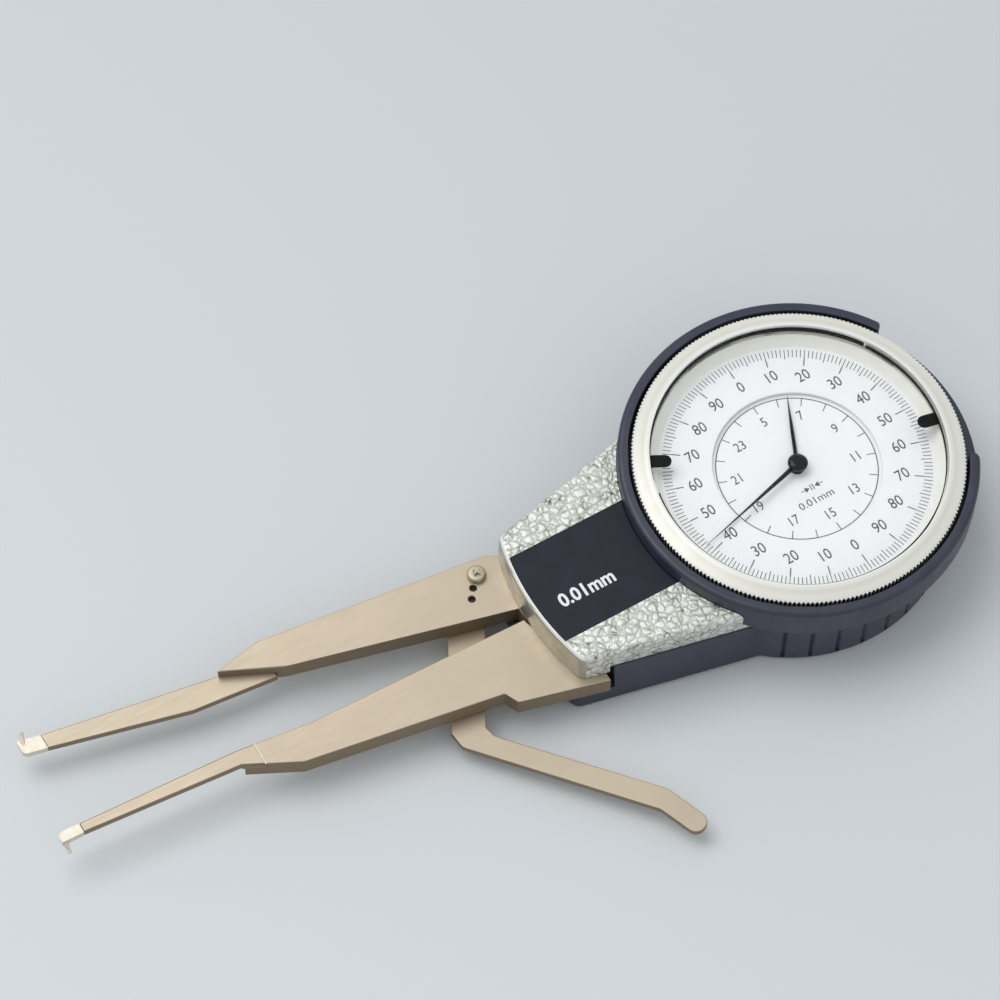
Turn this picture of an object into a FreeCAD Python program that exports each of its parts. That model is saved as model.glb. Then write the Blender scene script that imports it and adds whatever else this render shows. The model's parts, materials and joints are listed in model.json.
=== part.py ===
import FreeCAD, Part
import math
import os
import re
import Sketcher

# Inside dial caliper gauge, lying on its back cover.
# Origin: on the dial's axis, in the flat face that it lies on. +X runs from the arms to the dial's far
# end, +Y to the dial's top, +Z out of the dial. The arms are at rest, open against their stop.

SIZES = {
    # heights above the face that the gauge lies on
    "cover_floor": 1.8,
    "lever_low": 3.0,
    "lever_thick": 1.5,
    "arm_low": 4.8,
    "arm_thick": 4.4,
    "finger_thick": 1.5,
    "finger_drop": 2.45,
    "arm_gap": 0.1,
    "slot_low": 4.6,
    "parting_height": 11.5,
    "cup_top": 13.2,
    "neck_top": 16.8,
    "dial_height": 16.2,
    # plan of the neck
    "front_corner_x": -56.6,
    "front_corner_y": 15.2,
    "front_radius": 52.0,
    "side_slope": 0.227,
    "neck_end_x": -10.0,
    "neck_edge_round": 1.1,
    "front_corner_round": 2.0,
    # walls
    "cover_wall": 1.8,
    "cover_proud": 0.3,
    "cover_flare": 1.1,
    "neck_wall": 1.8,
    "neck_roof": 1.8,
    "slot_end_x": -50.6,
    "skirt_end_x": -51.2,
    "bottom_edge_round": 1.2,
    # round part
    "collar_radius": 29.7,
    "drum_step": 1.9,
    "drum_wall": 1.6,
    "drum_ceiling": 12.2,
    "cup_fit": 0.2,
    "cup_back": 2.0,
    "collar_top": 15.5,
    "dial_seat_radius": 17.2,
    "motion_floor": 13.4,
    "motion_recess_radius": 11.4,
    "centre_hole_radius": 1.4,
    "ring_gap": 0.1,
    # grip grooves of the round wall
    "groove_half_width": 0.65,
    "groove_pitch_deg": 9.45,
    "groove_count": 27,
    "groove_depth": 0.5,
    # guard ring
    "finger_room": 0.6,
    "guard_wall": 2.0,
    "guard_flange": 1.0,
    "guard_top": 19.7,
    "guard_rim_top": 14.9,
    "guard_open_deg": 58.0,
    "guard_round": 0.85,
    # bezel and what it holds
    "bezel_fit": 0.1,
    "bezel_wall": 1.7,
    "bezel_edge": 0.5,
    "bezel_low": 14.4,
    "bezel_shoulder": 19.9,
    "bezel_top": 21.1,
    "lip_width": 1.7,
    "lip_flat": 0.4,
    "knurl_count": 236,
    "knurl_depth": 0.35,
    "crystal_thick": 1.0,
    "crystal_low": 18.2,
    "crystal_fit": 0.1,
    "spacer_low_width": 3.6,
    "spacer_top_width": 2.0,
    "dial_thick": 0.5,
    "dial_hole_radius": 16.1,
    "inner_dial_drop": 0.95,
    "inner_dial_thick": 0.4,
    "inner_dial_radius": 17.0,
    "spring_ring_low": 14.75,
    "spring_ring_height": 0.4,
    "spring_ring_width": 0.6,
    "spring_ring_bite": 0.4,
    "spring_ring_proud": 0.25,
    "spring_ring_side_gap": 0.05,
    "spring_ring_fit": 0.15,
    "spring_ring_span_deg": 345.0,
    # tolerance markers
    "marker_fit": 0.05,
    "marker_sheet": 0.2,
    "marker_top": 20.3,
    "marker_finger_reach": 2.9,
    "marker_finger_width": 2.6,
    "left_marker_deg": 151.7,
    "left_strip_start_deg": 31.0,
    "left_strip_span_deg": 130.0,
    "right_marker_deg": -12.8,
    "right_strip_start_deg": -193.0,
    "right_strip_span_deg": 223.0,
    # label plate
    "label_half_width": 10.1,
    "label_drop": 0.8,
    "label_thick": 0.55,
    "label_lip": 0.7,
    "label_fit": 0.05,
    "label_under_ring": 6.0,
    # pivot
    "pivot_x": -50.0,
    "pivot_y": 2.3,
    "pin_radius": 2.5,
    "pin_foot": 0.9,
    "pin_top": 13.6,
    "press_gap": 0.02,
    "running_gap": 0.05,
    "bush_wall": 1.05,
    "hub_radius": 8.9,
    "hub_clearance": 0.4,
    "pivot_boss_radius": 4.0,
    "foot_boss_radius": 3.6,
    "washer_thick": 0.3,
    "washer_radius": 4.1,
    # moving arm, plan at rest
    "m_nose_x": -113.7,
    "m_nose_y": 20.3,
    "m_shoulder_x": -104.4,
    "m_shoulder_y": 22.1,
    "m_back_x": -58.6,
    "m_back_y": 16.4,
    "m_belly_x": -102.4,
    "m_belly_y": 14.9,
    "m_throat_x": -58.7,
    "m_throat_y": 3.4,
    "m_back_round": 3.2,
    "m_finger_root_x": -104.0,
    "m_finger_root_top_y": 18.9,
    "m_finger_root_low_y": 14.9,
    "m_finger_knee_x": -120.9,
    "m_finger_knee_y": 16.6,
    "m_finger_end_back": 2.98,
    "m_finger_end_top": 2.15,
    "m_finger_end_width": 3.0,
    # fixed arm, plan
    "f_nose_x": -119.0,
    "f_nose_top_y": 4.4,
    "f_nose_low_y": 1.3,
    "f_top_knee_x": -104.0,
    "f_top_knee_y": 2.5,
    "f_belly_x": -108.8,
    "f_belly_y": -3.9,
    "f_notch_x": -70.2,
    "f_notch_y": -10.5,
    "f_heel_x": -68.9,
    "f_heel_y": -13.3,
    "f_heel_round": 0.8,
    "f_tail_x": -51.8,
    "f_tail_y": -18.0,
    "f_throat_y": 1.0,
    "f_inner_y": -14.0,
    "f_inner_end_x": -40.0,
    "f_finger_lap": 4.0,
    "shut_clearance": 1.0,
    "relief_above": 0.5,
    "relief_run": 8.0,
    "f_finger_end_back": 3.75,
    "f_finger_end_low": 1.65,
    "f_finger_end_width": 2.0,
    # tips
    "arm_reach": 103.75,
    "rest_gap": 26.42,
    "small_gap": 5.0,
    "fixed_tip_y": 2.3,
    "tip_ball_radius": 0.4,
    "tip_root_radius": 0.65,
    "tip_heel_round": 1.1,
    "tip_hook_share": 0.8,
    "tip_hook_inset": 0.7,
    "m_tip_overhang": 1.6,
    "f_tip_overhang": 0.6,
    "tip_height": 7.22,
    # lever, plan at rest
    "lever_head_x": -61.0,
    "lever_head_y": 16.2,
    "lever_head_left_x": -68.2,
    "lever_head_left_y": 14.6,
    "lever_elbow_out_x": -81.6,
    "lever_elbow_out_y": -10.4,
    "lever_elbow_low_x": -81.3,
    "lever_elbow_low_y": -14.0,
    "lever_elbow_in_x": -75.4,
    "lever_elbow_in_y": -12.6,
    "lever_elbow_in_low_x": -75.0,
    "lever_elbow_in_low_y": -14.9,
    "lever_neck_in_x": -65.2,
    "lever_neck_in_y": 4.9,
    "lever_head_in_x": -60.4,
    "lever_head_in_y": 12.2,
    "lever_bend_out_x": -56.4,
    "lever_bend_out_y": -43.1,
    "lever_bend_in_x": -53.0,
    "lever_bend_in_y": -40.2,
    "lever_end_out_x": -53.4,
    "lever_end_out_y": -51.0,
    "lever_end_in_x": -49.5,
    "lever_end_in_y": -49.6,
    "lever_corner_round": 2.6,
    "lever_tip_round": 1.9,
    "lever_spacer_radius": 1.9,
    # fasteners
    "screw_radius": 0.95,
    "screw_head_radius": 1.75,
    "screw_head_height": 1.3,
    "screw_rim_share": 0.55,
    "screw_crown_share": 0.72,
    "screw_clearance": 0.1,
    "lever_screw_x": -62.2,
    "lever_screw_y": 13.4,
    "dowel_one_x": -64.0,
    "dowel_one_y": 11.5,
    "dowel_two_x": -65.4,
    "dowel_two_y": 9.6,
    "dowel_radius": 0.65,
    "dowel_sink": 0.9,
    "arm_screw_one_x": -50.0,
    "arm_screw_two_x": -43.2,
    "arm_screw_y": -11.0,
    "neck_screw_x": -34.0,
    "neck_screw_y": 15.3,
    "round_screw_deg": 45.0,
    "round_screw_inset": 3.5,
    "boss_radius": 2.4,
    "boss_step": 0.2,
    "boss_gap": 0.3,
    "screw_seat": 1.9,
    "screw_pad": 1.5,
    "screw_length": 6.0,
    "thread_spare": 0.5,
    "arm_screw_bite": 3.6,
    "arm_thread_depth": 4.0,
    # gear train
    "sector_teeth": 312,
    "sector_low_tooth": -12,
    "sector_high_tooth": 2,
    "pinion_teeth": 12,
    "wheel_teeth": 100,
    "centre_teeth": 8,
    "train_module": 0.25,
    "pressure_deg": 30.0,
    "tooth_add": 0.75,
    "tooth_ded": 1.05,
    "tooth_thinning": 0.05,
    "motion_module": 0.2,
    "cannon_teeth": 13,
    "motion_wheel_teeth": 39,
    "motion_pinion_teeth": 12,
    "mm_wheel_teeth": 40,
    "motion_deg": 205.0,
    "sector_thick": 0.9,
    "sector_hub_radius": 6.4,
    "sector_rim": 3.4,
    "sector_web_rim_deg": 5.2,
    "sector_web_hub_deg": 31.5,
    "sector_bush_gap": 0.3,
    "sector_screw_radius": 0.5,
    "sector_screw_orbit": 5.1,
    "sector_screw_deg": 80.0,
    "sector_screw_bite": 2.2,
    "sector_thread_depth": 2.5,
    "sector_screw_head": 0.45,
    "sector_screw_head_radius": 0.85,
    "gear_thick": 0.5,
    "pinion_spare": 0.2,
    "wheel_holes": 4,
    "wheel_hole_orbit_share": 0.29,
    "wheel_hole_share": 0.14,
    "end_shake": 0.1,
    "pivot_end_sink": 0.1,
    "wheel_low": 10.7,
    "arbor_radius": 0.6,
    "pivot_end_radius": 0.35,
    "centre_arbor_radius": 0.5,
    "tube_gap": 0.05,
    "tube_wall": 0.35,
    "motion_low": 13.55,
    "motion_step": 0.65,
    "tube_above_hand": 0.1,
    "motion_post_gap": 0.05,
    # movement plates
    "plate_centre_x": -2.0,
    "plate_centre_y": 1.5,
    "plate_radius": 18.0,
    "top_plate_thick": 0.6,
    "bottom_plate_low": 6.6,
    "bottom_plate_thick": 1.0,
    "pillar_radius": 1.5,
    "pillar_one_x": 12.5,
    "pillar_one_y": 9.0,
    "pillar_two_x": 7.0,
    "pillar_two_y": -12.5,
    "pillar_three_x": -13.0,
    "pillar_three_y": -9.5,
    "pillar_screw_radius": 0.7,
    "pillar_screw_head_radius": 1.3,
    "pillar_screw_head": 0.7,
    "pillar_screw_short": 0.05,
    # springs and stops
    "hairspring_inner": 1.7,
    "hairspring_pitch": 0.75,
    "hairspring_turns": 4.0,
    "hairspring_strip": 0.12,
    "hairspring_low": 8.5,
    "hairspring_height": 0.6,
    "hairspring_seat": 0.1,
    "hairspring_steps": 14,
    "collet_radius": 1.3,
    "stud_radius": 0.6,
    "return_coil_radius": 4.75,
    "return_wire_radius": 0.28,
    "return_turns": 2.5,
    "return_pitch": 0.72,
    "return_low": 2.2,
    "return_leg": 7.5,
    "return_leg_deg": 120.0,
    "spring_post_radius": 0.8,
    "spring_post_place": 6.3,
    "spring_post_drop": 0.6,
    "stop_radius": 1.0,
    "stop_orbit": 35.5,
    "stop_clearance": 0.3,
    "stop_above": 0.2,
    # hands
    "long_hand_end_gap": 2.6,
    "long_hand_low": 16.85,
    "long_hand_width": 0.95,
    "short_hand_length": 15.3,
    "short_hand_low": 15.95,
    "short_hand_width": 0.8,
    "hand_thick": 0.15,
    "hand_point": 0.09,
    "hand_root_share": 0.6,
    "hand_waist_share": 0.55,
    "hand_waist_width_share": 0.8,
    "hand_hub_radius": 1.4,
    "cap_radius": 1.9,
    "cap_height": 0.95,
    "cap_rim_share": 0.45,
    "cap_crown_share": 0.55,
    "cap_bulge_share": 0.75,
    "arbor_above_hand": 0.3,
    "mm_start": 5.0,
    "mm_per_long_turn": 2.0,
    "mm_per_short_turn": 20.0,
    # making: how far joined forms run into each other, and cutting tools past what they cut
    "overlap": 0.2,
    "past": 1.0,
    "plan_reach": 40.0,
}

doc = FreeCAD.newDocument("inside_dial_caliper_gauge")
sheet = doc.addObject("Spreadsheet::Sheet", "sizes")
for row, (word, number) in enumerate(SIZES.items(), 1):
    sheet.set("A%d" % row, word)
    sheet.set("B%d" % row, str(number))
    sheet.setAlias("B%d" % row, word)
doc.recompute()


def bound(formula):
    """A formula in which each word of the sheet is a reference to its cell."""
    def cell(match):
        return "sizes." + match.group() if match.group() in SIZES else match.group()
    return re.sub(r"[a-z][a-z_0-9]*", cell, str(formula))


def size(formula):
    """What a formula comes to now."""
    value = sheet.evalExpression(bound(formula))
    return float(getattr(value, "Value", value))


# Places, radii and turns that follow from the sizes
DRUM_RADIUS = "(collar_radius - drum_step)"
DRUM_BORE = "(collar_radius - drum_step - drum_wall)"
CUP_RADIUS = "(collar_radius - drum_step + cup_fit + cover_wall + cup_back)"
CUP_INNER = "(collar_radius - drum_step + cup_fit + cup_back)"
BEZEL_INNER = "(collar_radius + bezel_fit)"
BEZEL_RADIUS = "(collar_radius + bezel_fit + bezel_wall)"
GUARD_INNER = "(collar_radius + bezel_fit + bezel_wall + finger_room)"
GUARD_RADIUS = "(collar_radius + bezel_fit + bezel_wall + finger_room + guard_wall)"
LIP_RADIUS = "(collar_radius + bezel_fit - lip_width)"
SPACER_LOW = "(collar_radius + bezel_fit - spacer_low_width)"
SPACER_TOP = "(collar_radius + bezel_fit - spacer_top_width)"
NECK_LEAN = "sqrt(1 + side_slope ^ 2)"
ARM_TOP = "(arm_low + arm_thick)"
M_FINGER_TOP = "(arm_low + arm_thick - finger_drop)"
OPEN_DEG = "(2 * asin(rest_gap / 2 / arm_reach))"
SHUT_DEG = "(2 * asin(small_gap / 2 / arm_reach))"
FIXED_TIP_DEG = "(180 deg - asin((fixed_tip_y - pivot_y) / arm_reach))"
FIXED_TIP_X = "(pivot_x + arm_reach * cos(%s))" % FIXED_TIP_DEG
MOVING_TIP_DEG = "(%s - %s)" % (FIXED_TIP_DEG, OPEN_DEG)
MOVING_TIP_X = "(pivot_x + arm_reach * cos(%s))" % MOVING_TIP_DEG
MOVING_TIP_Y = "(pivot_y + arm_reach * sin(%s))" % MOVING_TIP_DEG
M_END_X = "(%s + m_finger_end_back)" % MOVING_TIP_X
M_END_TOP = "(%s - m_finger_end_top)" % MOVING_TIP_Y
M_END_LOW = "(%s - m_finger_end_top - m_finger_end_width)" % MOVING_TIP_Y
F_END_X = "(%s + f_finger_end_back)" % FIXED_TIP_X
F_END_LOW = "(fixed_tip_y + f_finger_end_low)"
F_END_TOP = "(fixed_tip_y + f_finger_end_low + f_finger_end_width)"
SECTOR_RADIUS = "(sector_teeth * train_module / 2)"
SECTOR_CENTRES = "((sector_teeth + pinion_teeth) * train_module / 2)"
WHEEL_CENTRES = "((wheel_teeth + centre_teeth) * train_module / 2)"
PIVOT_TO_DIAL = "(sqrt(pivot_x ^ 2 + pivot_y ^ 2))"
DIAL_DEG = "(atan(pivot_y / pivot_x))"
MESH_DEG = "({d} + acos(({s} ^ 2 + {p} ^ 2 - {w} ^ 2) / (2 * {s} * {p})))".format(
    d=DIAL_DEG, s=SECTOR_CENTRES, p=PIVOT_TO_DIAL, w=WHEEL_CENTRES)
TRANSFER_X = "(pivot_x + %s * cos(%s))" % (SECTOR_CENTRES, MESH_DEG)
TRANSFER_Y = "(pivot_y + %s * sin(%s))" % (SECTOR_CENTRES, MESH_DEG)
MOTION_CENTRES = "((cannon_teeth + motion_wheel_teeth) * motion_module / 2)"
MOTION_X = "(%s * cos(motion_deg))" % MOTION_CENTRES
MOTION_Y = "(%s * sin(motion_deg))" % MOTION_CENTRES
INNER_DIAL_TOP = "(dial_height - inner_dial_drop)"
CRYSTAL_TOP = "(crystal_low + crystal_thick)"
BUSH_RADIUS = "(pin_radius + running_gap + bush_wall)"
TUBE_RADIUS = "(centre_arbor_radius + tube_gap + tube_wall)"

nodes = {}


def keep(name, piece):
    """A finished sub-part, under the name that its file takes."""
    piece.Label = name
    nodes[name] = piece
    return piece


def place(piece, x=0, y=0, z=0, turn=None):
    for axis, formula in zip("xyz", (x, y, z)):
        piece.setExpression("Placement.Base." + axis, bound(formula))
    if turn is not None:
        piece.setExpression("Placement.Rotation.Angle", bound(turn))
    return piece


def cylinder(name, radius, low, high, x=0, y=0, span=None, turn=None):
    piece = doc.addObject("Part::Cylinder", name)
    piece.setExpression("Radius", bound(radius))
    piece.setExpression("Height", bound("(%s) - (%s)" % (high, low)))
    if span is not None:
        piece.setExpression("Angle", bound(span))
    return place(piece, x, y, low, turn)


def cone(name, low_radius, top_radius, low, high, x=0, y=0):
    piece = doc.addObject("Part::Cone", name)
    piece.setExpression("Radius1", bound(low_radius))
    piece.setExpression("Radius2", bound(top_radius))
    piece.setExpression("Height", bound("(%s) - (%s)" % (high, low)))
    return place(piece, x, y, low)


def box(name, x0, x1, y0, y1, low, high):
    piece = doc.addObject("Part::Box", name)
    piece.setExpression("Length", bound("(%s) - (%s)" % (x1, x0)))
    piece.setExpression("Width", bound("(%s) - (%s)" % (y1, y0)))
    piece.setExpression("Height", bound("(%s) - (%s)" % (high, low)))
    return place(piece, x0, y0, low)


def fuse(name, *pieces):
    if len(pieces) == 1:
        return pieces[0]
    piece = doc.addObject("Part::MultiFuse", name)
    piece.Shapes = list(pieces)
    return piece


def cut(name, base, *tools):
    piece = doc.addObject("Part::Cut", name)
    piece.Base = base
    piece.Tool = fuse(name + "_tools", *tools)
    return piece


def common(name, *pieces):
    piece = doc.addObject("Part::MultiCommon", name)
    piece.Shapes = list(pieces)
    return piece


def tube(name, outer, inner, low, high, x=0, y=0, span=None, turn=None):
    wall = cylinder(name + "_outside", outer, low, high, x, y, span, turn)
    bore = cylinder(name + "_inside", inner, low, high, x, y)
    return cut(name, wall, bore)


def outline(sketch, corners, arcs=None):
    """A closed outline whose corners and arc radii are bound to the sheet.

    corners holds (x, y) formulas. arcs maps the number of a side to (radius, bulge), bulge 1 for an
    arc that leaves the side to the right of its way, and -1 to the left.
    """
    arcs = arcs or {}
    spots = [FreeCAD.Vector(size(x), size(y), 0) for x, y in corners]
    count = len(spots)
    ends = []
    for side in range(count):
        start, end = spots[side], spots[(side + 1) % count]
        if side in arcs:
            radius, bulge = size(arcs[side][0]), arcs[side][1]
            half = start.distanceToPoint(end) / 2
            rise = radius - math.sqrt(radius ** 2 - half ** 2)
            way = (end - start).normalize()
            middle = (start + end) / 2 + FreeCAD.Vector(way.y, -way.x, 0) * bulge * rise
            if bulge > 0:
                index = sketch.addGeometry(Part.Arc(start, middle, end), False)
                ends.append((index, 1, 2))
            else:
                index = sketch.addGeometry(Part.Arc(end, middle, start), False)
                ends.append((index, 2, 1))
        else:
            index = sketch.addGeometry(Part.LineSegment(start, end), False)
            ends.append((index, 1, 2))
    for side in range(count):
        index, _, last = ends[side]
        following, first, _ = ends[(side + 1) % count]
        sketch.addConstraint(Sketcher.Constraint("Coincident", index, last, following, first))
    for side in range(count):
        index, first, _ = ends[side]
        for kind, number, formula in (("DistanceX", spots[side].x, corners[side][0]),
                                      ("DistanceY", spots[side].y, corners[side][1])):
            rule = sketch.addConstraint(Sketcher.Constraint(kind, -1, 1, index, first, number))
            sketch.setExpression("Constraints[%d]" % rule, bound(formula))
        if side in arcs:
            rule = sketch.addConstraint(Sketcher.Constraint("Radius", index, size(arcs[side][0])))
            sketch.setExpression("Constraints[%d]" % rule, bound(arcs[side][0]))
    return sketch


def origin_plane(body, role):
    return [part for part in body.Origin.OriginFeatures if part.Role == role][0]


def plate(name, corners, low, thick, arcs=None, rounds=(), lean=None):
    """A flat plate: a padded outline, with some of its upright corners rounded.

    rounds holds (x, y, radius) formulas, one for each corner to round. lean is how far the sides
    draw in towards the top.
    """
    body = doc.addObject("PartDesign::Body", name)
    sketch = body.newObject("Sketcher::SketchObject", name + "_outline")
    sketch.AttachmentSupport = [(origin_plane(body, "XY_Plane"), "")]
    sketch.MapMode = "FlatFace"
    outline(sketch, corners, arcs)
    pad = body.newObject("PartDesign::Pad", name + "_pad")
    pad.Profile = sketch
    pad.setExpression("Length", bound(thick))
    if lean is not None:
        pad.setExpression("TaperAngle", bound("-atan(%s / (%s))" % (lean, thick)))
    place(body, z=low)
    doc.recompute()
    last = pad
    near = size("label_fit")
    radii = {}
    for x, y, radius in rounds:
        radii.setdefault(radius, []).append((size(x), size(y)))
    for number, (radius, spots) in enumerate(radii.items()):
        edges = []
        for index, edge in enumerate(last.Shape.Edges, 1):
            foot, upright = edge.Vertexes[0], edge.BoundBox.ZLength > size(thick) / 2
            if upright and any(math.hypot(foot.X - x, foot.Y - y) < near for x, y in spots):
                edges.append("Edge%d" % index)
        fillet = body.newObject("PartDesign::Fillet", "%s_round_%d" % (name, number))
        fillet.Base = (last, edges)
        fillet.setExpression("Radius", bound(radius))
        doc.recompute()
        last = fillet
    body.Tip = last
    return body


def turned(name, corners, arcs=None):
    """A turned piece: a half section of (radius, height) corners, turned about the dial's axis."""
    body = doc.addObject("PartDesign::Body", name)
    sketch = body.newObject("Sketcher::SketchObject", name + "_section")
    sketch.AttachmentSupport = [(origin_plane(body, "XZ_Plane"), "")]
    sketch.MapMode = "FlatFace"
    outline(sketch, corners, arcs)
    revolution = body.newObject("PartDesign::Revolution", name + "_turn")
    revolution.Profile = sketch
    revolution.ReferenceAxis = (sketch, ["V_Axis"])
    revolution.Angle = 360
    body.Tip = revolution
    return body


def made(name, shape):
    piece = doc.addObject("Part::Feature", name)
    piece.Shape = shape
    return piece


def soften(name, base, radius, chosen):
    """Rounds the edges of a finished form that the function chosen picks."""
    doc.recompute()
    piece = doc.addObject("Part::Fillet", name)
    piece.Base = base
    reach = size(radius)
    piece.Edges = [(number, reach, reach) for number, edge in enumerate(base.Shape.Edges, 1)
                   if chosen(edge)]
    return piece


def neck(name, inset, low, high, lean=None):
    """The neck's plan, drawn in by inset: a bowed front, two straight sides that spread to the dial."""
    corner_x = "(front_corner_x + %s)" % inset
    corner_y = "(front_corner_y - %s * (%s - side_slope))" % (inset, NECK_LEAN)
    end_y = "(front_corner_y - {inset} * {lean} + side_slope * (neck_end_x - front_corner_x))".format(
        inset=inset, lean=NECK_LEAN)
    corners = [(corner_x, corner_y), (corner_x, "-" + corner_y), ("neck_end_x", "-" + end_y),
               ("neck_end_x", end_y)]
    rounds = [(corner_x, y, "front_corner_round") for y in (corner_y, "-" + corner_y)]
    return plate(name, corners, low, "(%s) - (%s)" % (high, low),
                 {0: ("(front_radius - %s)" % inset, 1)}, rounds, lean)


ROUND_SCREW_X = "(%s - round_screw_inset) * cos(round_screw_deg) - cup_back" % CUP_INNER
ROUND_SCREW_Y = "(%s - round_screw_inset) * sin(round_screw_deg)" % CUP_INNER
COVER_SCREWS = [("neck_screw_x", "neck_screw_y"), ("neck_screw_x", "-neck_screw_y"),
                (ROUND_SCREW_X, ROUND_SCREW_Y), (ROUND_SCREW_X, "-" + ROUND_SCREW_Y)]
ARM_SCREWS = [("arm_screw_one_x", "arm_screw_y"), ("arm_screw_two_x", "arm_screw_y")]


def grip_groove(name, number):
    """A tool for one upright V groove of the round wall, counted from the far end."""
    turn = "(%s - (groove_count - 1) / 2) * groove_pitch_deg" % number
    tool = doc.addObject("Part::Prism", name)
    tool.Polygon = 4
    tool.setExpression("Circumradius", bound("groove_half_width"))
    tool.setExpression("Height", bound("cup_top + past - bottom_edge_round"))
    orbit = "(%s + groove_half_width - groove_depth)" % CUP_RADIUS
    return place(tool, "%s * cos(%s) - cup_back" % (orbit, turn), "%s * sin(%s)" % (orbit, turn),
                 "bottom_edge_round", turn)


# Back cover: a moulded dish under the neck and the round part, with a slot for the arms at the front
def back_cover():
    def bottom_edge(edge):
        return edge.BoundBox.ZMax < size("cover_proud") / 2

    foot = neck("cover_neck", "(-cover_proud - cover_flare)", "0", "parting_height", "cover_flare")
    cup = cylinder("cover_cup", CUP_RADIUS, "0", "cup_top", "-cup_back")
    dish = fuse("cover_form", soften("cover_neck_soft", foot, "bottom_edge_round", bottom_edge),
                soften("cover_cup_soft", cup, "bottom_edge_round", bottom_edge))
    above = neck("cover_over_neck", "(-cover_proud)", "parting_height", "cup_top + past")
    hollow = fuse("cover_hollow",
                  neck("cover_neck_hollow", "(cover_wall - cover_proud)", "cover_floor",
                       "cup_top + past"),
                  cylinder("cover_cup_hollow", CUP_INNER, "cover_floor", "cup_top + past",
                           "-cup_back"))
    slot = box("cover_arm_slot", "front_corner_x - plan_reach", "slot_end_x", "-plan_reach",
               "plan_reach", "slot_low", "parting_height + past")
    shell = cut("cover_shell", dish, above, hollow, slot)
    posts = [cylinder("cover_pivot_boss", "foot_boss_radius", "cover_floor - overlap",
                      "arm_low - washer_thick", "pivot_x", "pivot_y")]
    holes = [cylinder("cover_pivot_hole", "pin_radius + press_gap", "pin_foot", "arm_low",
                      "pivot_x", "pivot_y")]
    for number, (x, y) in enumerate(COVER_SCREWS):
        posts.append(cylinder("cover_pad_%d" % number, "boss_radius + boss_step",
                              "cover_floor - overlap", "screw_seat + screw_pad", x, y))
        holes.append(cylinder("cover_sink_%d" % number, "screw_head_radius + screw_clearance",
                              "-past", "screw_seat", x, y))
        holes.append(cylinder("cover_hole_%d" % number, "screw_radius + screw_clearance", "0",
                              "screw_seat + screw_pad + past", x, y))
    for number in range(int(SIZES["groove_count"])):
        holes.append(grip_groove("cover_groove_%d" % number, number))
    return cut("back_cover_solid", fuse("cover_with_posts", shell, *posts), *holes)


# Front housing: one casting, the neck over the arms and the round seat of the dial
def front_housing():
    form = neck("housing_neck", "0", "%s + arm_gap" % ARM_TOP, "neck_top")

    def top_edge(edge):
        far_end = edge.BoundBox.XMin > size("neck_end_x - overlap")
        return edge.BoundBox.ZMin > size("neck_top - overlap") and not far_end

    form = soften("housing_soft", form, "neck_edge_round", top_edge)
    under = box("housing_step", "skirt_end_x", "neck_end_x + past", "-plan_reach", "plan_reach",
                "arm_low", "parting_height")
    ring_room = cylinder("housing_ring_room", "%s + ring_gap" % GUARD_RADIUS, "cup_top",
                         "neck_top + past")
    hollow = neck("housing_hollow", "neck_wall", "arm_low", "drum_ceiling")
    high = cut("housing_high_hollow",
               neck("housing_high_hollow_neck", "neck_wall", "drum_ceiling - overlap",
                    "neck_top - neck_roof"),
               cylinder("housing_ring_wall", "%s + neck_wall" % GUARD_RADIUS, "0", "neck_top"))
    drum = cylinder("housing_drum", DRUM_RADIUS, "parting_height", "cup_top")
    collar = cylinder("housing_collar", "collar_radius", "cup_top", "collar_top")
    body = cut("housing_neck_shell", form, under, ring_room, hollow, high)
    body = fuse("housing_body", body, drum, collar)
    groove_radius = "collar_radius + spring_ring_proud - spring_ring_width - spring_ring_fit"
    room = [
        cylinder("housing_drum_bore", DRUM_BORE, "arm_low", "drum_ceiling"),
        cylinder("housing_dial_seat", "dial_seat_radius", "%s - inner_dial_thick" % INNER_DIAL_TOP,
                 "neck_top"),
        cylinder("housing_motion_recess", "motion_recess_radius", "motion_floor", "neck_top"),
        cylinder("housing_centre_hole", "centre_hole_radius", "arm_low", "neck_top"),
        tube("housing_spring_groove", "collar_radius + past", groove_radius,
             "spring_ring_low - spring_ring_side_gap",
             "spring_ring_low + spring_ring_height + spring_ring_side_gap"),
        neck("housing_low_hollow", "neck_wall", "arm_low", "drum_ceiling"),
        label_form("housing_label_recess", "0", "neck_top - label_drop", "neck_top + past"),
    ]
    holes = [cylinder("housing_pivot_hole", "pin_radius + press_gap", "arm_low", "pin_top", "pivot_x",
                      "pivot_y"),
             cylinder("housing_post_hole", "arbor_radius + press_gap", "arm_low", "neck_top",
                      MOTION_X, MOTION_Y)]
    roof = "neck_top - neck_roof + overlap"
    bosses = [cylinder("housing_pivot_boss", "pivot_boss_radius",
                       "%s + sector_thick + boss_gap" % ARM_TOP, roof, "pivot_x", "pivot_y")]
    for number, (x, y) in enumerate(COVER_SCREWS):
        top = roof if x == "neck_screw_x" else "drum_ceiling + overlap"
        bosses.append(cylinder("housing_boss_%d" % number, "boss_radius", "screw_seat + screw_pad",
                               top, x, y))
        holes.append(cylinder("housing_thread_%d" % number, "screw_radius + press_gap", "0",
                              "screw_seat + screw_length + thread_spare", x, y))
    for number, (x, y) in enumerate(ARM_SCREWS):
        bosses.append(cylinder("housing_arm_boss_%d" % number, "boss_radius - boss_step", ARM_TOP,
                               roof, x, y))
        holes.append(cylinder("housing_arm_thread_%d" % number, "screw_radius + press_gap", "0",
                              "%s + arm_thread_depth" % ARM_TOP, x, y))
    hollowed = cut("housing_hollowed", body, *room)
    return cut("front_housing_solid", fuse("housing_with_bosses", hollowed, *bosses), *holes)


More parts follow.
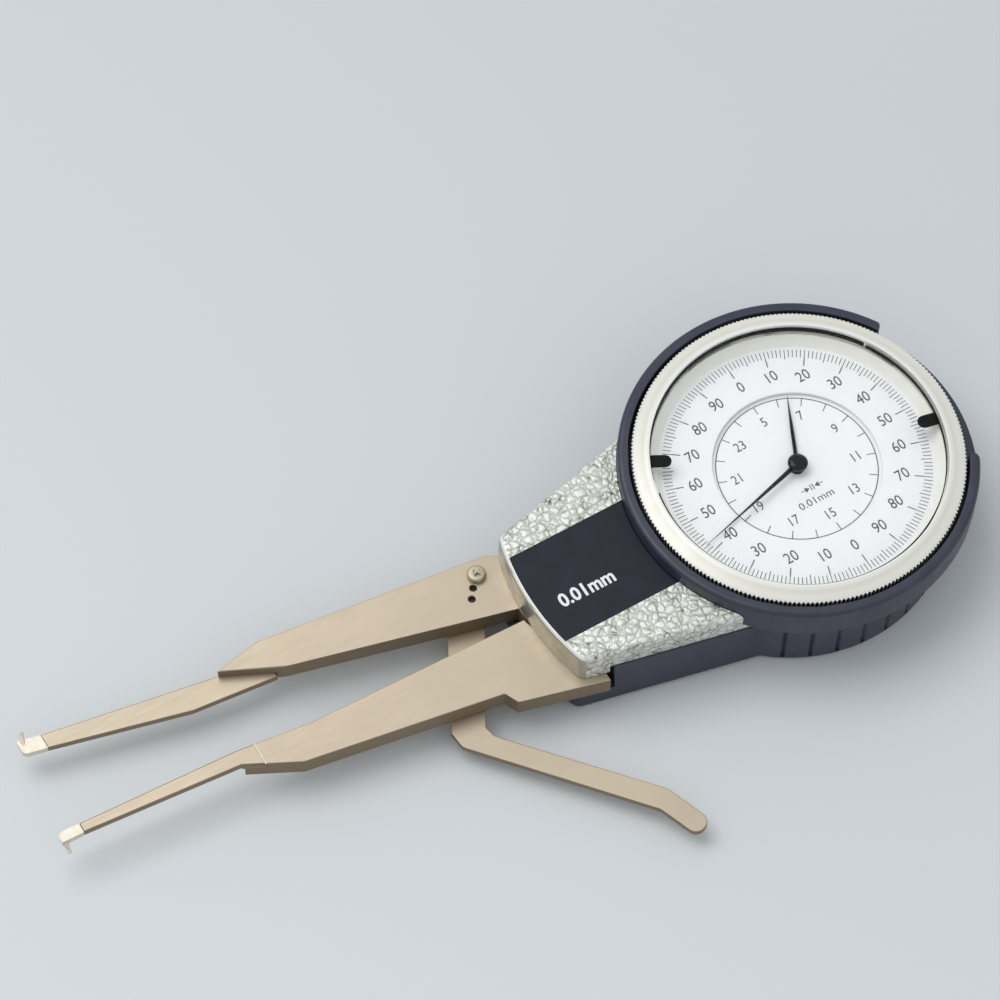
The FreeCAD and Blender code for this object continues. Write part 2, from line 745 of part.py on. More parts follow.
# Label plate: let into the neck's top, its far end bowed round the guard ring
def label_form(name, inset, low, high):
    front = "(front_corner_x + sqrt(front_radius ^ 2 - front_corner_y ^ 2)" \
            " - sqrt(front_radius ^ 2 - label_half_width ^ 2) + label_lip + %s)" % inset
    half = "(label_half_width - %s)" % inset
    end = "(label_under_ring - %s)" % GUARD_RADIUS
    corners = [(front, half), (front, "-" + half), (end, "-" + half), (end, half)]
    return plate(name, corners, low, "(%s) - (%s)" % (high, low),
                 {0: ("(front_radius - label_lip)", 1)})


def label_plate():
    form = label_form("label_form", "label_fit", "neck_top - label_drop",
                      "neck_top - label_drop + label_thick")
    return cut("label_plate_solid", form,
               cylinder("label_ring_room", "%s + ring_gap" % GUARD_RADIUS, "cup_top",
                        "neck_top + past"))


# Guard ring: stands round the bezel, lower over a gap at the far end where a finger turns the bezel
def guard_ring():
    wall = turned("guard_form", [
        ("collar_radius + ring_gap", "cup_top"), (GUARD_RADIUS, "cup_top"),
        (GUARD_RADIUS, "guard_top - guard_round"), ("%s - guard_round" % GUARD_RADIUS, "guard_top"),
        ("%s + guard_round" % GUARD_INNER, "guard_top"), (GUARD_INNER, "guard_top - guard_round"),
        (GUARD_INNER, "cup_top + guard_flange"),
        ("collar_radius + ring_gap", "cup_top + guard_flange")],
        {2: ("guard_round", 1), 4: ("guard_round", 1)})
    gap = cylinder("guard_gap", "%s + past" % GUARD_RADIUS, "guard_rim_top", "guard_top + past",
                   span="guard_open_deg", turn="-guard_open_deg / 2")
    return cut("guard_ring_solid", wall, gap)


# Bezel: a turned ring with a fine straight knurl round its edge
def bezel():
    spring_low = "(spring_ring_low - spring_ring_side_gap)"
    spring_top = "(spring_ring_low + spring_ring_height + spring_ring_side_gap)"
    form = turned("bezel_form", [
        (BEZEL_INNER, spring_top), ("%s + spring_ring_bite" % BEZEL_INNER, spring_top),
        ("%s + spring_ring_bite" % BEZEL_INNER, spring_low), (BEZEL_INNER, spring_low),
        (BEZEL_INNER, "bezel_low"), (BEZEL_RADIUS, "bezel_low"), (BEZEL_RADIUS, "bezel_shoulder"),
        ("%s - bezel_edge" % BEZEL_RADIUS, "bezel_shoulder + bezel_edge / 2"),
        ("%s + lip_flat" % LIP_RADIUS, "bezel_top"), (LIP_RADIUS, "bezel_top"),
        (LIP_RADIUS, CRYSTAL_TOP), (BEZEL_INNER, CRYSTAL_TOP)])
    count = int(SIZES["knurl_count"])
    tip, root = size(BEZEL_RADIUS), size("%s - knurl_depth" % BEZEL_RADIUS)
    points = []
    for number in range(2 * count):
        reach = tip if number % 2 == 0 else root
        angle = math.pi * number / count
        points.append(FreeCAD.Vector(reach * math.cos(angle), reach * math.sin(angle), 0))
    face = Part.Face(Part.makePolygon(points + points[:1]))
    low, high = size("bezel_low - past"), size("bezel_top + past")
    face.translate(FreeCAD.Vector(0, 0, low))
    knurl = made("bezel_knurl", face.extrude(FreeCAD.Vector(0, 0, high - low)))
    return common("bezel_solid", form, knurl)


# Tolerance marker: a strip sprung into the bezel's lip, with a finger bent in over the crystal
def marker(name, outside, low, centre, start, span):
    strip = tube(name + "_strip", outside, "(%s) - marker_sheet" % outside, low, "marker_top",
                 span=span, turn=start)
    end = "%s - marker_finger_reach" % LIP_RADIUS
    finger = box(name + "_finger", end, "(%s) - marker_sheet / 2" % outside,
                 "-marker_finger_width / 2", "marker_finger_width / 2", low,
                 "(%s) + marker_sheet" % low)
    nose = cylinder(name + "_nose", "marker_finger_width / 2", low, "(%s) + marker_sheet" % low, end)
    bent = place(fuse(name + "_bent", finger, nose), turn=centre)
    return fuse(name + "_solid", strip, bent)


# Arms
def round_eye(name, low, high, radius):
    return cylinder(name, radius, low, high, "pivot_x", "pivot_y")


def moving_arm():
    corners = [("m_nose_x", "m_nose_y"), ("m_belly_x", "m_belly_y"), ("m_throat_x", "m_throat_y"),
               ("pivot_x", "pivot_y"), ("pivot_x", "pivot_y + hub_radius - overlap"),
               ("m_back_x", "m_back_y"), ("m_shoulder_x", "m_shoulder_y")]
    form = plate("moving_arm_plate", corners, "arm_low", "arm_thick",
                 rounds=[("m_back_x", "m_back_y", "m_back_round")])
    hub = round_eye("moving_arm_hub", "arm_low", ARM_TOP, "hub_radius")
    above = "%s + past" % ARM_TOP
    holes = [round_eye("moving_arm_bore", "0", above, BUSH_RADIUS)]
    holes.append(cylinder("moving_arm_screw_hole", "screw_radius + press_gap", "0", above,
                          "lever_screw_x", "lever_screw_y"))
    for number, (x, y) in enumerate(DOWELS):
        holes.append(cylinder("moving_arm_dowel_hole_%d" % number, "dowel_radius + press_gap", "0",
                              above, x, y))
    for number, (x, y) in enumerate(SECTOR_SCREWS):
        holes.append(cylinder("moving_arm_thread_%d" % number, "sector_screw_radius + press_gap",
                              "%s - sector_thread_depth" % ARM_TOP, above, x, y))
    holes.append(box("moving_arm_lap", "m_nose_x - past", "m_finger_root_x", "0", "plan_reach",
                     "arm_low - past", M_FINGER_TOP))
    return cut("moving_arm_solid", fuse("moving_arm_form", form, hub), *holes)


DOWELS = [("dowel_one_x", "dowel_one_y"), ("dowel_two_x", "dowel_two_y")]
SECTOR_SCREWS = [("pivot_x + sector_screw_orbit * cos(sector_screw_deg + %s)" % turn,
                  "pivot_y + sector_screw_orbit * sin(sector_screw_deg + %s)" % turn)
                 for turn in ("0", "360 / 3", "720 / 3")]


def moving_finger():
    corners = [(M_END_X, M_END_LOW), ("m_finger_knee_x", "m_finger_knee_y"),
               ("m_finger_root_x", "m_finger_root_low_y"),
               ("m_finger_root_x", "m_finger_root_top_y"), (M_END_X, M_END_TOP)]
    low = "%s - finger_thick" % M_FINGER_TOP
    return plate("moving_finger_plate", corners, low, "finger_thick")


def swung(x, y):
    """Where a point of the moving arm comes to when the arm is shut."""
    angle = "(%s - %s)" % (OPEN_DEG, SHUT_DEG)
    across, up = "(%s - pivot_x)" % x, "(%s - pivot_y)" % y
    return ("(pivot_x + %s * cos(%s) - %s * sin(%s))" % (across, angle, up, angle),
            "(pivot_y + %s * sin(%s) + %s * cos(%s))" % (across, angle, up, angle))


def fixed_arm():
    corner_x = "(pivot_x - sqrt((hub_radius + hub_clearance) ^ 2 - (f_throat_y - pivot_y) ^ 2))"
    hub_side_y = "(pivot_y - hub_radius - hub_clearance)"
    corners = [("f_nose_x", "f_nose_top_y"), ("f_nose_x", "f_nose_low_y"), ("f_belly_x", "f_belly_y"),
               ("f_notch_x", "f_notch_y"), ("f_heel_x", "f_heel_y"), ("f_tail_x", "f_tail_y"),
               ("f_tail_x", "f_inner_y"), ("f_inner_end_x", "f_inner_y"),
               ("f_inner_end_x", hub_side_y), ("pivot_x", hub_side_y),
               (corner_x, "f_throat_y"), ("f_top_knee_x", "f_top_knee_y")]
    form = plate("fixed_arm_plate", corners, "arm_low", "arm_thick",
                 {9: ("hub_radius + hub_clearance", -1)},
                 [("f_heel_x", "f_heel_y", "f_heel_round")])
    holes = [cylinder("fixed_arm_hole_%d" % number, "screw_radius + screw_clearance", "0",
                      "%s + past" % ARM_TOP, x, y) for number, (x, y) in enumerate(ARM_SCREWS)]
    lap = box("fixed_arm_lap", "f_nose_x - past", "f_nose_x + f_finger_lap", "-plan_reach",
              "plan_reach", "%s - finger_thick" % ARM_TOP, "%s + past" % ARM_TOP)
    root_x, root_y = swung("m_finger_root_x", "m_finger_root_low_y")
    knee_x, knee_y = swung("m_finger_knee_x", "m_finger_knee_y")
    relief = plate("fixed_arm_relief", [
        (knee_x, "%s - shut_clearance" % knee_y), (root_x, "%s - shut_clearance" % root_y),
        ("%s + relief_run" % root_x, "%s + relief_run" % root_y),
        (knee_x, "%s + relief_run" % knee_y)],
        "arm_low - past", "past + arm_thick - finger_drop + relief_above")
    return cut("fixed_arm_solid", form, lap, relief, *holes)


def fixed_finger():
    slope = "(f_top_knee_y - f_nose_top_y) / (f_top_knee_x - f_nose_x)"
    low_slope = "(f_belly_y - f_nose_low_y) / (f_belly_x - f_nose_x)"
    root = "(f_nose_x + f_finger_lap)"
    corners = [(F_END_X, F_END_LOW), ("f_nose_x", "f_nose_low_y"),
               (root, "f_nose_low_y + f_finger_lap * %s" % low_slope),
               (root, "f_nose_top_y + f_finger_lap * %s" % slope), ("f_nose_x", "f_nose_top_y"),
               (F_END_X, F_END_TOP)]
    return plate("fixed_finger_plate", corners, "%s - finger_thick" % ARM_TOP, "finger_thick")


# Tip: the hardened end of a finger, bent out into a tapered hook with a round contact
def tip(name, root_top, root_low, contact, side, finger_top, overhang):
    """root_top and root_low are the finger's end corners, contact the point that touches the bore."""
    high, low = size(finger_top), size("%s - finger_thick" % finger_top)
    reach = size("tip_ball_radius")
    centre = FreeCAD.Vector(contact[0], contact[1] - side * reach, size("tip_height"))
    top = FreeCAD.Vector(root_top[0], root_top[1], low)
    bottom = FreeCAD.Vector(root_low[0], root_low[1], low)
    pivot = FreeCAD.Vector(size("pivot_x"), size("pivot_y"), low)
    along = ((top + bottom) / 2 - pivot).normalize()
    step = top.x - contact[0] + size(overhang)
    far_top, far_bottom = top + along * step, bottom + along * step
    shank = Part.Face(Part.makePolygon([bottom, top, far_top, far_bottom, bottom])).extrude(
        FreeCAD.Vector(0, 0, high - low))
    heel = far_bottom if side > 0 else far_top
    corner = [edge for edge in shank.Edges if all(
        math.hypot(end.X - heel.x, end.Y - heel.y) < 1e-6 for end in edge.Vertexes)]
    shank = shank.makeFillet(size("tip_heel_round"), corner)
    foot = (far_top + far_bottom) / 2 - along * size("tip_hook_inset")
    foot.z = (low + high) / 2
    hook = Part.makeCone(size("tip_root_radius"), reach * size("tip_hook_share"),
                         (centre - foot).Length, foot, centre - foot)
    return made(name + "_solid", shank.fuse([hook, Part.makeSphere(reach, centre)]))


# Lever: a plate under the moving arm, cranked under the fixed arm and back along the gauge
def lever():
    corners = [("lever_head_x", "lever_head_y"), ("lever_head_left_x", "lever_head_left_y"),
               ("lever_elbow_out_x", "lever_elbow_out_y"), ("lever_elbow_low_x", "lever_elbow_low_y"),
               ("lever_bend_out_x", "lever_bend_out_y"), ("lever_end_out_x", "lever_end_out_y"),
               ("lever_end_in_x", "lever_end_in_y"), ("lever_bend_in_x", "lever_bend_in_y"),
               ("lever_elbow_in_low_x", "lever_elbow_in_low_y"),
               ("lever_elbow_in_x", "lever_elbow_in_y"), ("lever_neck_in_x", "lever_neck_in_y"),
               ("lever_head_in_x", "lever_head_in_y")]
    rounds = [(corners[3][0], corners[3][1], "lever_corner_round"),
              (corners[5][0], corners[5][1], "lever_tip_round"),
              (corners[6][0], corners[6][1], "lever_tip_round"),
              (corners[8][0], corners[8][1], "lever_corner_round")]
    form = plate("lever_plate", corners, "lever_low", "lever_thick", rounds=rounds)
    holes = [cylinder("lever_dowel_hole_%d" % number, "dowel_radius + press_gap", "0", "arm_low", x, y)
             for number, (x, y) in enumerate(DOWELS)]
    holes.append(cylinder("lever_screw_hole", "screw_radius + press_gap", "0", "arm_low",
                          "lever_screw_x", "lever_screw_y"))
    return cut("lever_solid", form, *holes)


def lever_spacer():
    low = "lever_low + lever_thick"
    spots = DOWELS + [("lever_screw_x", "lever_screw_y")]
    pads = [cylinder("spacer_pad_%d" % number, "lever_spacer_radius", low, "arm_low", x, y)
            for number, (x, y) in enumerate(spots)]
    holes = [cylinder("spacer_hole_%d" % number,
                      "(%s) + press_gap" % ("screw_radius" if number == 2 else "dowel_radius"), "0",
                      "arm_low + past", x, y) for number, (x, y) in enumerate(spots)]
    return cut("lever_spacer_solid", fuse("spacer_form", *pads), *holes)


def screw(name, seat, end, x, y, up=1, radius="screw_radius", head="screw_head_radius",
          height="screw_head_height"):
    """A pan head screw: the head stands off the seat, the shank runs from the seat to its end."""
    rim, flat = "(%s) * screw_rim_share" % height, "(%s) * screw_crown_share" % head
    if up > 0:
        shank = cylinder(name + "_shank", radius, end, "(%s) + overlap" % seat, x, y)
        low_head = cylinder(name + "_head", head, seat, "(%s) + %s" % (seat, rim), x, y)
        crown = cone(name + "_crown", head, flat, "(%s) + %s" % (seat, rim),
                     "(%s) + (%s)" % (seat, height), x, y)
    else:
        shank = cylinder(name + "_shank", radius, "(%s) - overlap" % seat, end, x, y)
        low_head = cylinder(name + "_head", head, "(%s) - %s" % (seat, rim), seat, x, y)
        crown = cone(name + "_crown", flat, head, "(%s) - (%s)" % (seat, height),
                     "(%s) - %s" % (seat, rim), x, y)
    return fuse(name, shank, low_head, crown)


# Gear teeth: straight flanks drawn through an involute at root and tip, thinned for backlash
def tooth_angles(teeth, module, radius):
    pressure = math.radians(size("pressure_deg"))
    pitch_radius = module * teeth / 2
    base = pitch_radius * math.cos(pressure)
    half = (math.pi * module / 2 - size("tooth_thinning")) / 2 / pitch_radius
    here = math.acos(min(1.0, base / radius))
    return half + (math.tan(pressure) - pressure) - (math.tan(here) - here)


def tooth_points(teeth, module, centre, turn, numbers, steps=2):
    """Points round the teeth with these numbers. Tooth 0 points along turn, in degrees."""
    root = module * (teeth / 2 - size("tooth_ded"))
    crest = module * (teeth / 2 + size("tooth_add"))
    radii = [root + (crest - root) * step / (steps - 1) for step in range(steps)]
    points = []
    for number in numbers:
        middle = math.radians(turn) + 2 * math.pi * number / teeth
        for side, levels in ((-1, radii), (1, radii[::-1])):
            for radius in levels:
                angle = middle + side * tooth_angles(teeth, module, radius)
                points.append(centre + FreeCAD.Vector(radius * math.cos(angle),
                                                      radius * math.sin(angle), 0))
    return points


def gear(teeth, module, x, y, turn, low, thick, bore=0, steps=2):
    centre = FreeCAD.Vector(size(x), size(y), size(low))
    points = tooth_points(teeth, module, centre, turn, range(teeth), steps)
    solid = Part.Face(Part.makePolygon(points + points[:1])).extrude(FreeCAD.Vector(0, 0, size(thick)))
    if bore:
        solid = solid.cut(Part.makeCylinder(size(bore), size(thick) + 2,
                                            centre - FreeCAD.Vector(0, 0, 1)))
    return solid


def rod(radius, low, high, x="0", y="0"):
    start = FreeCAD.Vector(size(x), size(y), size(low))
    return Part.makeCylinder(size(radius), size(high) - size(low), start)


def whole(name):
    return int(SIZES[name])


def gear_sector():
    """A toothed rim on a web, screwed to the moving arm's hub."""
    teeth, module = whole("sector_teeth"), size("train_module")
    pivot = FreeCAD.Vector(size("pivot_x"), size("pivot_y"), size(ARM_TOP))
    mesh = size(MESH_DEG)
    numbers = range(whole("sector_low_tooth"), whole("sector_high_tooth") + 1)
    points = tooth_points(teeth, module, pivot, mesh, numbers)
    pitch = 360 / teeth
    first = math.radians(mesh + (numbers[0] - 0.5) * pitch)
    last = math.radians(mesh + (numbers[-1] + 0.5) * pitch)
    middle = (first + last) / 2
    root = size("%s - train_module * tooth_ded" % SECTOR_RADIUS)
    rim, hub = root - size("sector_rim"), size("sector_hub_radius")
    inside = hub - size("overlap")
    wide, narrow = math.radians(size("sector_web_hub_deg")), math.radians(size("sector_web_rim_deg"))

    def at(radius, angle):
        return pivot + FreeCAD.Vector(radius * math.cos(angle), radius * math.sin(angle), 0)

    back = [at(root, last), at(rim, last), at(rim, middle + narrow), at(inside, middle + wide),
            at(inside, middle - wide), at(rim, middle - narrow), at(rim, first), at(root, first)]
    outline_points = points + back
    web = Part.Face(Part.makePolygon(outline_points + outline_points[:1]))
    thick = FreeCAD.Vector(0, 0, size("sector_thick"))
    solid = web.extrude(thick).fuse(Part.makeCylinder(hub, thick.z, pivot))
    solid = solid.cut(Part.makeCylinder(size("%s + sector_bush_gap" % BUSH_RADIUS), thick.z, pivot))
    for x, y in SECTOR_SCREWS:
        solid = solid.cut(rod("sector_screw_radius + screw_clearance", ARM_TOP,
                              "%s + sector_thick + past" % ARM_TOP, x, y))
    return made("gear_sector_solid", solid)


def transfer_train():
    """The transfer arbor with its pinion, and the wheel riveted to it."""
    turn = size(MESH_DEG) + 180 + 180 / size("pinion_teeth")
    pinion = gear(whole("pinion_teeth"), size("train_module"), TRANSFER_X, TRANSFER_Y, turn,
                  "%s - pinion_spare" % ARM_TOP, "sector_thick + 2 * pinion_spare", steps=4)
    stem = rod("arbor_radius", "bottom_plate_low + bottom_plate_thick + end_shake",
               "drum_ceiling - top_plate_thick - end_shake", TRANSFER_X, TRANSFER_Y)
    ends = rod("pivot_end_radius", "bottom_plate_low + pivot_end_sink",
               "drum_ceiling - pivot_end_sink", TRANSFER_X, TRANSFER_Y)
    arbor = made("transfer_arbor_solid", pinion.fuse([stem, ends]))
    to_dial = math.degrees(math.atan2(-size(TRANSFER_Y), -size(TRANSFER_X)))
    wheel = gear(whole("wheel_teeth"), size("train_module"), TRANSFER_X, TRANSFER_Y, to_dial,
                 "wheel_low", "gear_thick", "arbor_radius")
    holes = whole("wheel_holes")
    for number in range(holes):
        angle = 2 * math.pi * (number + 0.5) / holes
        orbit = size("wheel_teeth * train_module * wheel_hole_orbit_share")
        x, y = size(TRANSFER_X) + orbit * math.cos(angle), size(TRANSFER_Y) + orbit * math.sin(angle)
        wheel = wheel.cut(rod("wheel_teeth * train_module * wheel_hole_share", "0", "neck_top",
                              str(x), str(y)))
    return arbor, made("transfer_wheel_solid", wheel)


def centre_arbor():
    to_dial = math.degrees(math.atan2(-size(TRANSFER_Y), -size(TRANSFER_X)))
    turn = to_dial + 180 + 180 / size("centre_teeth")
    pinion = gear(whole("centre_teeth"), size("train_module"), "0", "0", turn,
                  "wheel_low - pinion_spare", "gear_thick + 2 * pinion_spare", steps=4)
    stem = rod("centre_arbor_radius", "bottom_plate_low + bottom_plate_thick + end_shake",
               "long_hand_low + hand_thick + arbor_above_hand")
    end = rod("pivot_end_radius", "bottom_plate_low + pivot_end_sink",
              "bottom_plate_low + bottom_plate_thick + past")
    collet = rod("collet_radius", "hairspring_low - hairspring_seat",
                 "hairspring_low + hairspring_height + hairspring_seat")
    return made("centre_arbor_solid", pinion.fuse([stem, end, collet]))


def cannon_pinion():
    turn = size("motion_deg")
    return made("cannon_pinion_solid",
                gear(whole("cannon_teeth"), size("motion_module"), "0", "0", turn, "motion_low",
                     "gear_thick", "centre_arbor_radius", steps=3))


def motion_wheel():
    """The wheel that the cannon pinion drives, with its own pinion above it, on a fixed post."""
    turn = size("motion_deg") + 180 + 180 / size("motion_wheel_teeth")
    wheel = gear(whole("motion_wheel_teeth"), size("motion_module"), MOTION_X, MOTION_Y, turn,
                 "motion_low", "gear_thick")
    pinion = gear(whole("motion_pinion_teeth"), size("motion_module"), MOTION_X, MOTION_Y,
                  size("motion_deg") + 180, "motion_low + gear_thick", "motion_step", steps=3)
    return made("motion_wheel_solid",
                wheel.fuse(pinion).cut(rod("arbor_radius + running_gap", "0", "neck_top", MOTION_X,
                                           MOTION_Y)))


def mm_wheel():
    turn = size("motion_deg") + 180 / size("mm_wheel_teeth")
    wheel = gear(whole("mm_wheel_teeth"), size("motion_module"), "0", "0", turn,
                 "motion_low + motion_step", "gear_thick")
    pipe = rod(TUBE_RADIUS, "motion_low + motion_step", "short_hand_low + hand_thick + tube_above_hand")
    return made("mm_wheel_solid", wheel.fuse(pipe).cut(
        rod("centre_arbor_radius + tube_gap", "0", "neck_top")))


# Hands: thin tapered blades on a round eye
def hand(name, length, width, low, eye, bore, turn):
    reach, half, point = size(length), size(width) / 2, size("hand_point") / 2
    root = size(eye) * size("hand_root_share")
    waist, slim = reach * size("hand_waist_share"), half * size("hand_waist_width_share")
    corners = [(root, -half), (waist, -slim), (reach, -point), (reach, point), (waist, slim),
               (root, half)]
    points = [FreeCAD.Vector(x, y, size(low)) for x, y in corners]
    thick = FreeCAD.Vector(0, 0, size("hand_thick"))
    solid = Part.Face(Part.makePolygon(points + points[:1])).extrude(thick)
    solid = solid.fuse(rod(eye, low, "(%s) + hand_thick" % low))
    solid = solid.cut(rod(bore, "0", "bezel_top"))
    solid.rotate(FreeCAD.Vector(0, 0, 0), FreeCAD.Vector(0, 0, 1), size(turn))
    return made(name + "_solid", solid)


LONG_TURN = "(90 - 360 * (rest_gap - mm_start) / mm_per_long_turn)"
SHORT_TURN = "(90 - 360 * (rest_gap - mm_start) / mm_per_short_turn)"


def hairspring():
    """A flat spiral from the collet to the stud."""
    inner, pitch = size("hairspring_inner"), size("hairspring_pitch")
    strip, turns = size("hairspring_strip"), size("hairspring_turns")
    steps = int(whole("hairspring_steps") * turns)
    inside, outside = [], []
    for number in range(steps + 1):
        angle = 2 * math.pi * turns * number / steps
        radius = inner + pitch * turns * number / steps
        for points, reach in ((inside, radius), (outside, radius + strip)):
            points.append(FreeCAD.Vector(reach * math.cos(angle), reach * math.sin(angle),
                                         size("hairspring_low")))
    loop = inside + outside[::-1]
    face = Part.Face(Part.makePolygon(loop + loop[:1]))
    return made("hairspring_solid", face.extrude(FreeCAD.Vector(0, 0, size("hairspring_height"))))


SQUARE = ((-1, -1), (1, -1), (1, 1), (-1, 1), (-1, -1))


def return_spring():
    """A torsion spring of square wire round the pivot boss, with one leg on a post of the cover."""
    radius, wire = size("return_coil_radius"), size("return_wire_radius")
    height = size("return_pitch * return_turns")
    helix = Part.makeHelix(size("return_pitch"), height, radius)
    corners = [FreeCAD.Vector(radius + wire * x, 0, wire * z) for x, z in SQUARE]
    coil = Part.Wire(helix).makePipeShell([Part.makePolygon(corners)], True, True)
    leg = Part.makeBox(2 * wire, size("return_leg"), 2 * wire, FreeCAD.Vector(radius - wire, 0, -wire))
    leg.translate(FreeCAD.Vector(0, -size("return_leg"), 0))
    spring = coil.fuse(leg)
    spring.rotate(FreeCAD.Vector(0, 0, 0), FreeCAD.Vector(0, 0, 1), size("return_leg_deg"))
    spring.translate(FreeCAD.Vector(size("pivot_x"), size("pivot_y"), size("return_low")))
    return made("return_spring_solid", spring)


def spring_post():
    radius = "(return_coil_radius + return_wire_radius + spring_post_radius)"
    turn, leg = "return_leg_deg", "spring_post_place"
    x = "pivot_x + %s * cos(%s) + %s * sin(%s)" % (radius, turn, leg, turn)
    y = "pivot_y + %s * sin(%s) - %s * cos(%s)" % (radius, turn, leg, turn)
    return cylinder("spring_post_solid", "spring_post_radius", "cover_floor",
                    "arm_low - spring_post_drop", x, y)


def stop_place(angle):
    return ("pivot_x + stop_orbit * cos(%s)" % angle, "pivot_y + stop_orbit * sin(%s)" % angle)


def stop_pins():
    pitch = "360 deg / sector_teeth"
    lean = "(asin((stop_radius + stop_clearance) / stop_orbit))"
    low = "(%s + (sector_low_tooth - 0.5) * %s - %s)" % (MESH_DEG, pitch, lean)
    high = "(%s + (sector_high_tooth + 0.5) * %s + %s - %s + %s)" % (MESH_DEG, pitch, OPEN_DEG,
                                                                  SHUT_DEG, lean)
    x, y = stop_place(low)
    opening = cylinder("opening_stop_pin_solid", "stop_radius",
                       "bottom_plate_low + bottom_plate_thick",
                       "%s + sector_thick + stop_above" % ARM_TOP, x, y)
    x, y = stop_place(high)
    closing = cylinder("closing_stop_pin_solid", "stop_radius", "cover_floor",
                       "%s + sector_thick + stop_above" % ARM_TOP, x, y)
    return opening, closing


PILLARS = [("pillar_one_x", "pillar_one_y"), ("pillar_two_x", "pillar_two_y"),
           ("pillar_three_x", "pillar_three_y")]


def movement_plate(name, low, high, holes):
    disc = cylinder(name + "_disc", "plate_radius", low, high, "plate_centre_x", "plate_centre_y")
    bores = [cylinder("%s_hole_%d" % (name, number), radius, "(%s) - 1" % low, "(%s) + 1" % high, x, y)
             for number, (radius, x, y) in enumerate(holes)]
    return cut(name + "_solid", disc, *bores)


def several(name, pieces):
    """Like pieces that are kept together as separate solids."""
    group = doc.addObject("Part::Compound", name)
    group.Links = pieces
    return group


# The casings
keep("back_cover", back_cover())
keep("front_housing", front_housing())
keep("label_plate", label_plate())
keep("guard_ring", guard_ring())

# The bezel, with the dial, the spacer ring and the crystal that turn with it
keep("bezel", bezel())
crystal_radius = "%s - crystal_fit" % BEZEL_INNER
keep("crystal", cylinder("crystal_solid", crystal_radius, "crystal_low", CRYSTAL_TOP))
keep("dial_spacer_ring", turned("spacer_ring_form", [
    (SPACER_LOW, "dial_height"), (crystal_radius, "dial_height"), (crystal_radius, "crystal_low"),
    (SPACER_TOP, "crystal_low")]))
keep("outer_dial", tube("outer_dial_solid", crystal_radius, "dial_hole_radius",
                        "dial_height - dial_thick", "dial_height"))
keep("inner_dial", tube("inner_dial_solid", "inner_dial_radius", "centre_hole_radius",
                        "%s - inner_dial_thick" % INNER_DIAL_TOP, INNER_DIAL_TOP))
keep("bezel_spring", tube("bezel_spring_solid", "collar_radius + spring_ring_proud",
                          "collar_radius + spring_ring_proud - spring_ring_width", "spring_ring_low",
                          "spring_ring_low + spring_ring_height", span="spring_ring_span_deg"))

# The two tolerance markers
marker_low = "(%s + marker_fit)" % CRYSTAL_TOP
outside = "%s - marker_fit" % LIP_RADIUS
keep("left_marker", marker("left_marker_form", outside, marker_low, "left_marker_deg",
                           "left_strip_start_deg", "left_strip_span_deg"))
keep("right_marker", marker("right_marker_form", "(%s - marker_sheet - marker_fit)" % outside,
                            "(%s + marker_sheet + marker_fit)" % marker_low, "right_marker_deg",
                            "right_strip_start_deg", "right_strip_span_deg"))

# The arms
keep("moving_arm", moving_arm())
keep("moving_finger", moving_finger())
keep("fixed_arm", fixed_arm())
keep("fixed_finger", fixed_finger())
keep("moving_tip", tip("moving_tip_form",
                       (size(M_END_X), size(M_END_TOP)), (size(M_END_X), size(M_END_LOW)),
                       (size(MOVING_TIP_X), size(MOVING_TIP_Y)), 1, M_FINGER_TOP,
                       "m_tip_overhang"))
keep("fixed_tip", tip("fixed_tip_form",
                      (size(F_END_X), size(F_END_TOP)), (size(F_END_X), size(F_END_LOW)),
                      (size(FIXED_TIP_X), size("fixed_tip_y")), -1, ARM_TOP, "f_tip_overhang"))

# The lever and what holds it
keep("lever", lever())
keep("lever_spacer", lever_spacer())
keep("lever_screw", screw("lever_screw_form", ARM_TOP, "lever_low", "lever_screw_x", "lever_screw_y"))
keep("lever_pins", several("lever_pins_group", [
    cylinder("lever_pin_%d" % number, "dowel_radius", "lever_low", "%s - dowel_sink" % ARM_TOP, x, y)
    for number, (x, y) in enumerate(DOWELS)]))

# The pivot
keep("pivot_pin", cylinder("pivot_pin_solid", "pin_radius", "pin_foot", "pin_top", "pivot_x",
                           "pivot_y"))
keep("pivot_bush", tube("pivot_bush_solid", BUSH_RADIUS, "pin_radius + running_gap", "arm_low",
                        ARM_TOP, "pivot_x", "pivot_y"))
keep("thrust_washer", tube("thrust_washer_solid", "washer_radius", "pin_radius + press_gap",
                           "arm_low - washer_thick", "arm_low", "pivot_x", "pivot_y"))

# The movement
keep("gear_sector", gear_sector())
keep("sector_screws", several("sector_screws_group", [
    screw("sector_screw_%d" % number, "%s + sector_thick" % ARM_TOP,
          "%s - sector_screw_bite" % ARM_TOP, x, y, radius="sector_screw_radius",
          head="sector_screw_head_radius", height="sector_screw_head")
    for number, (x, y) in enumerate(SECTOR_SCREWS)]))
arbor, wheel = transfer_train()
keep("transfer_arbor", arbor)
keep("transfer_wheel", wheel)
keep("centre_arbor", centre_arbor())
keep("cannon_pinion", cannon_pinion())
keep("motion_wheel", motion_wheel())
keep("mm_wheel", mm_wheel())
post_top = "%s - inner_dial_thick - motion_post_gap" % INNER_DIAL_TOP
keep("motion_post", cylinder("motion_post_solid", "arbor_radius", "drum_ceiling - top_plate_thick",
                             post_top, MOTION_X, MOTION_Y))
end_hole = "pivot_end_radius + running_gap"
keep("movement_top_plate", movement_plate(
    "movement_top_plate", "drum_ceiling - top_plate_thick", "drum_ceiling",
    [(end_hole, TRANSFER_X, TRANSFER_Y), ("centre_arbor_radius + running_gap", "0", "0"),
     ("arbor_radius", MOTION_X, MOTION_Y)]
    + [("pillar_screw_radius + screw_clearance", x, y) for x, y in PILLARS]))
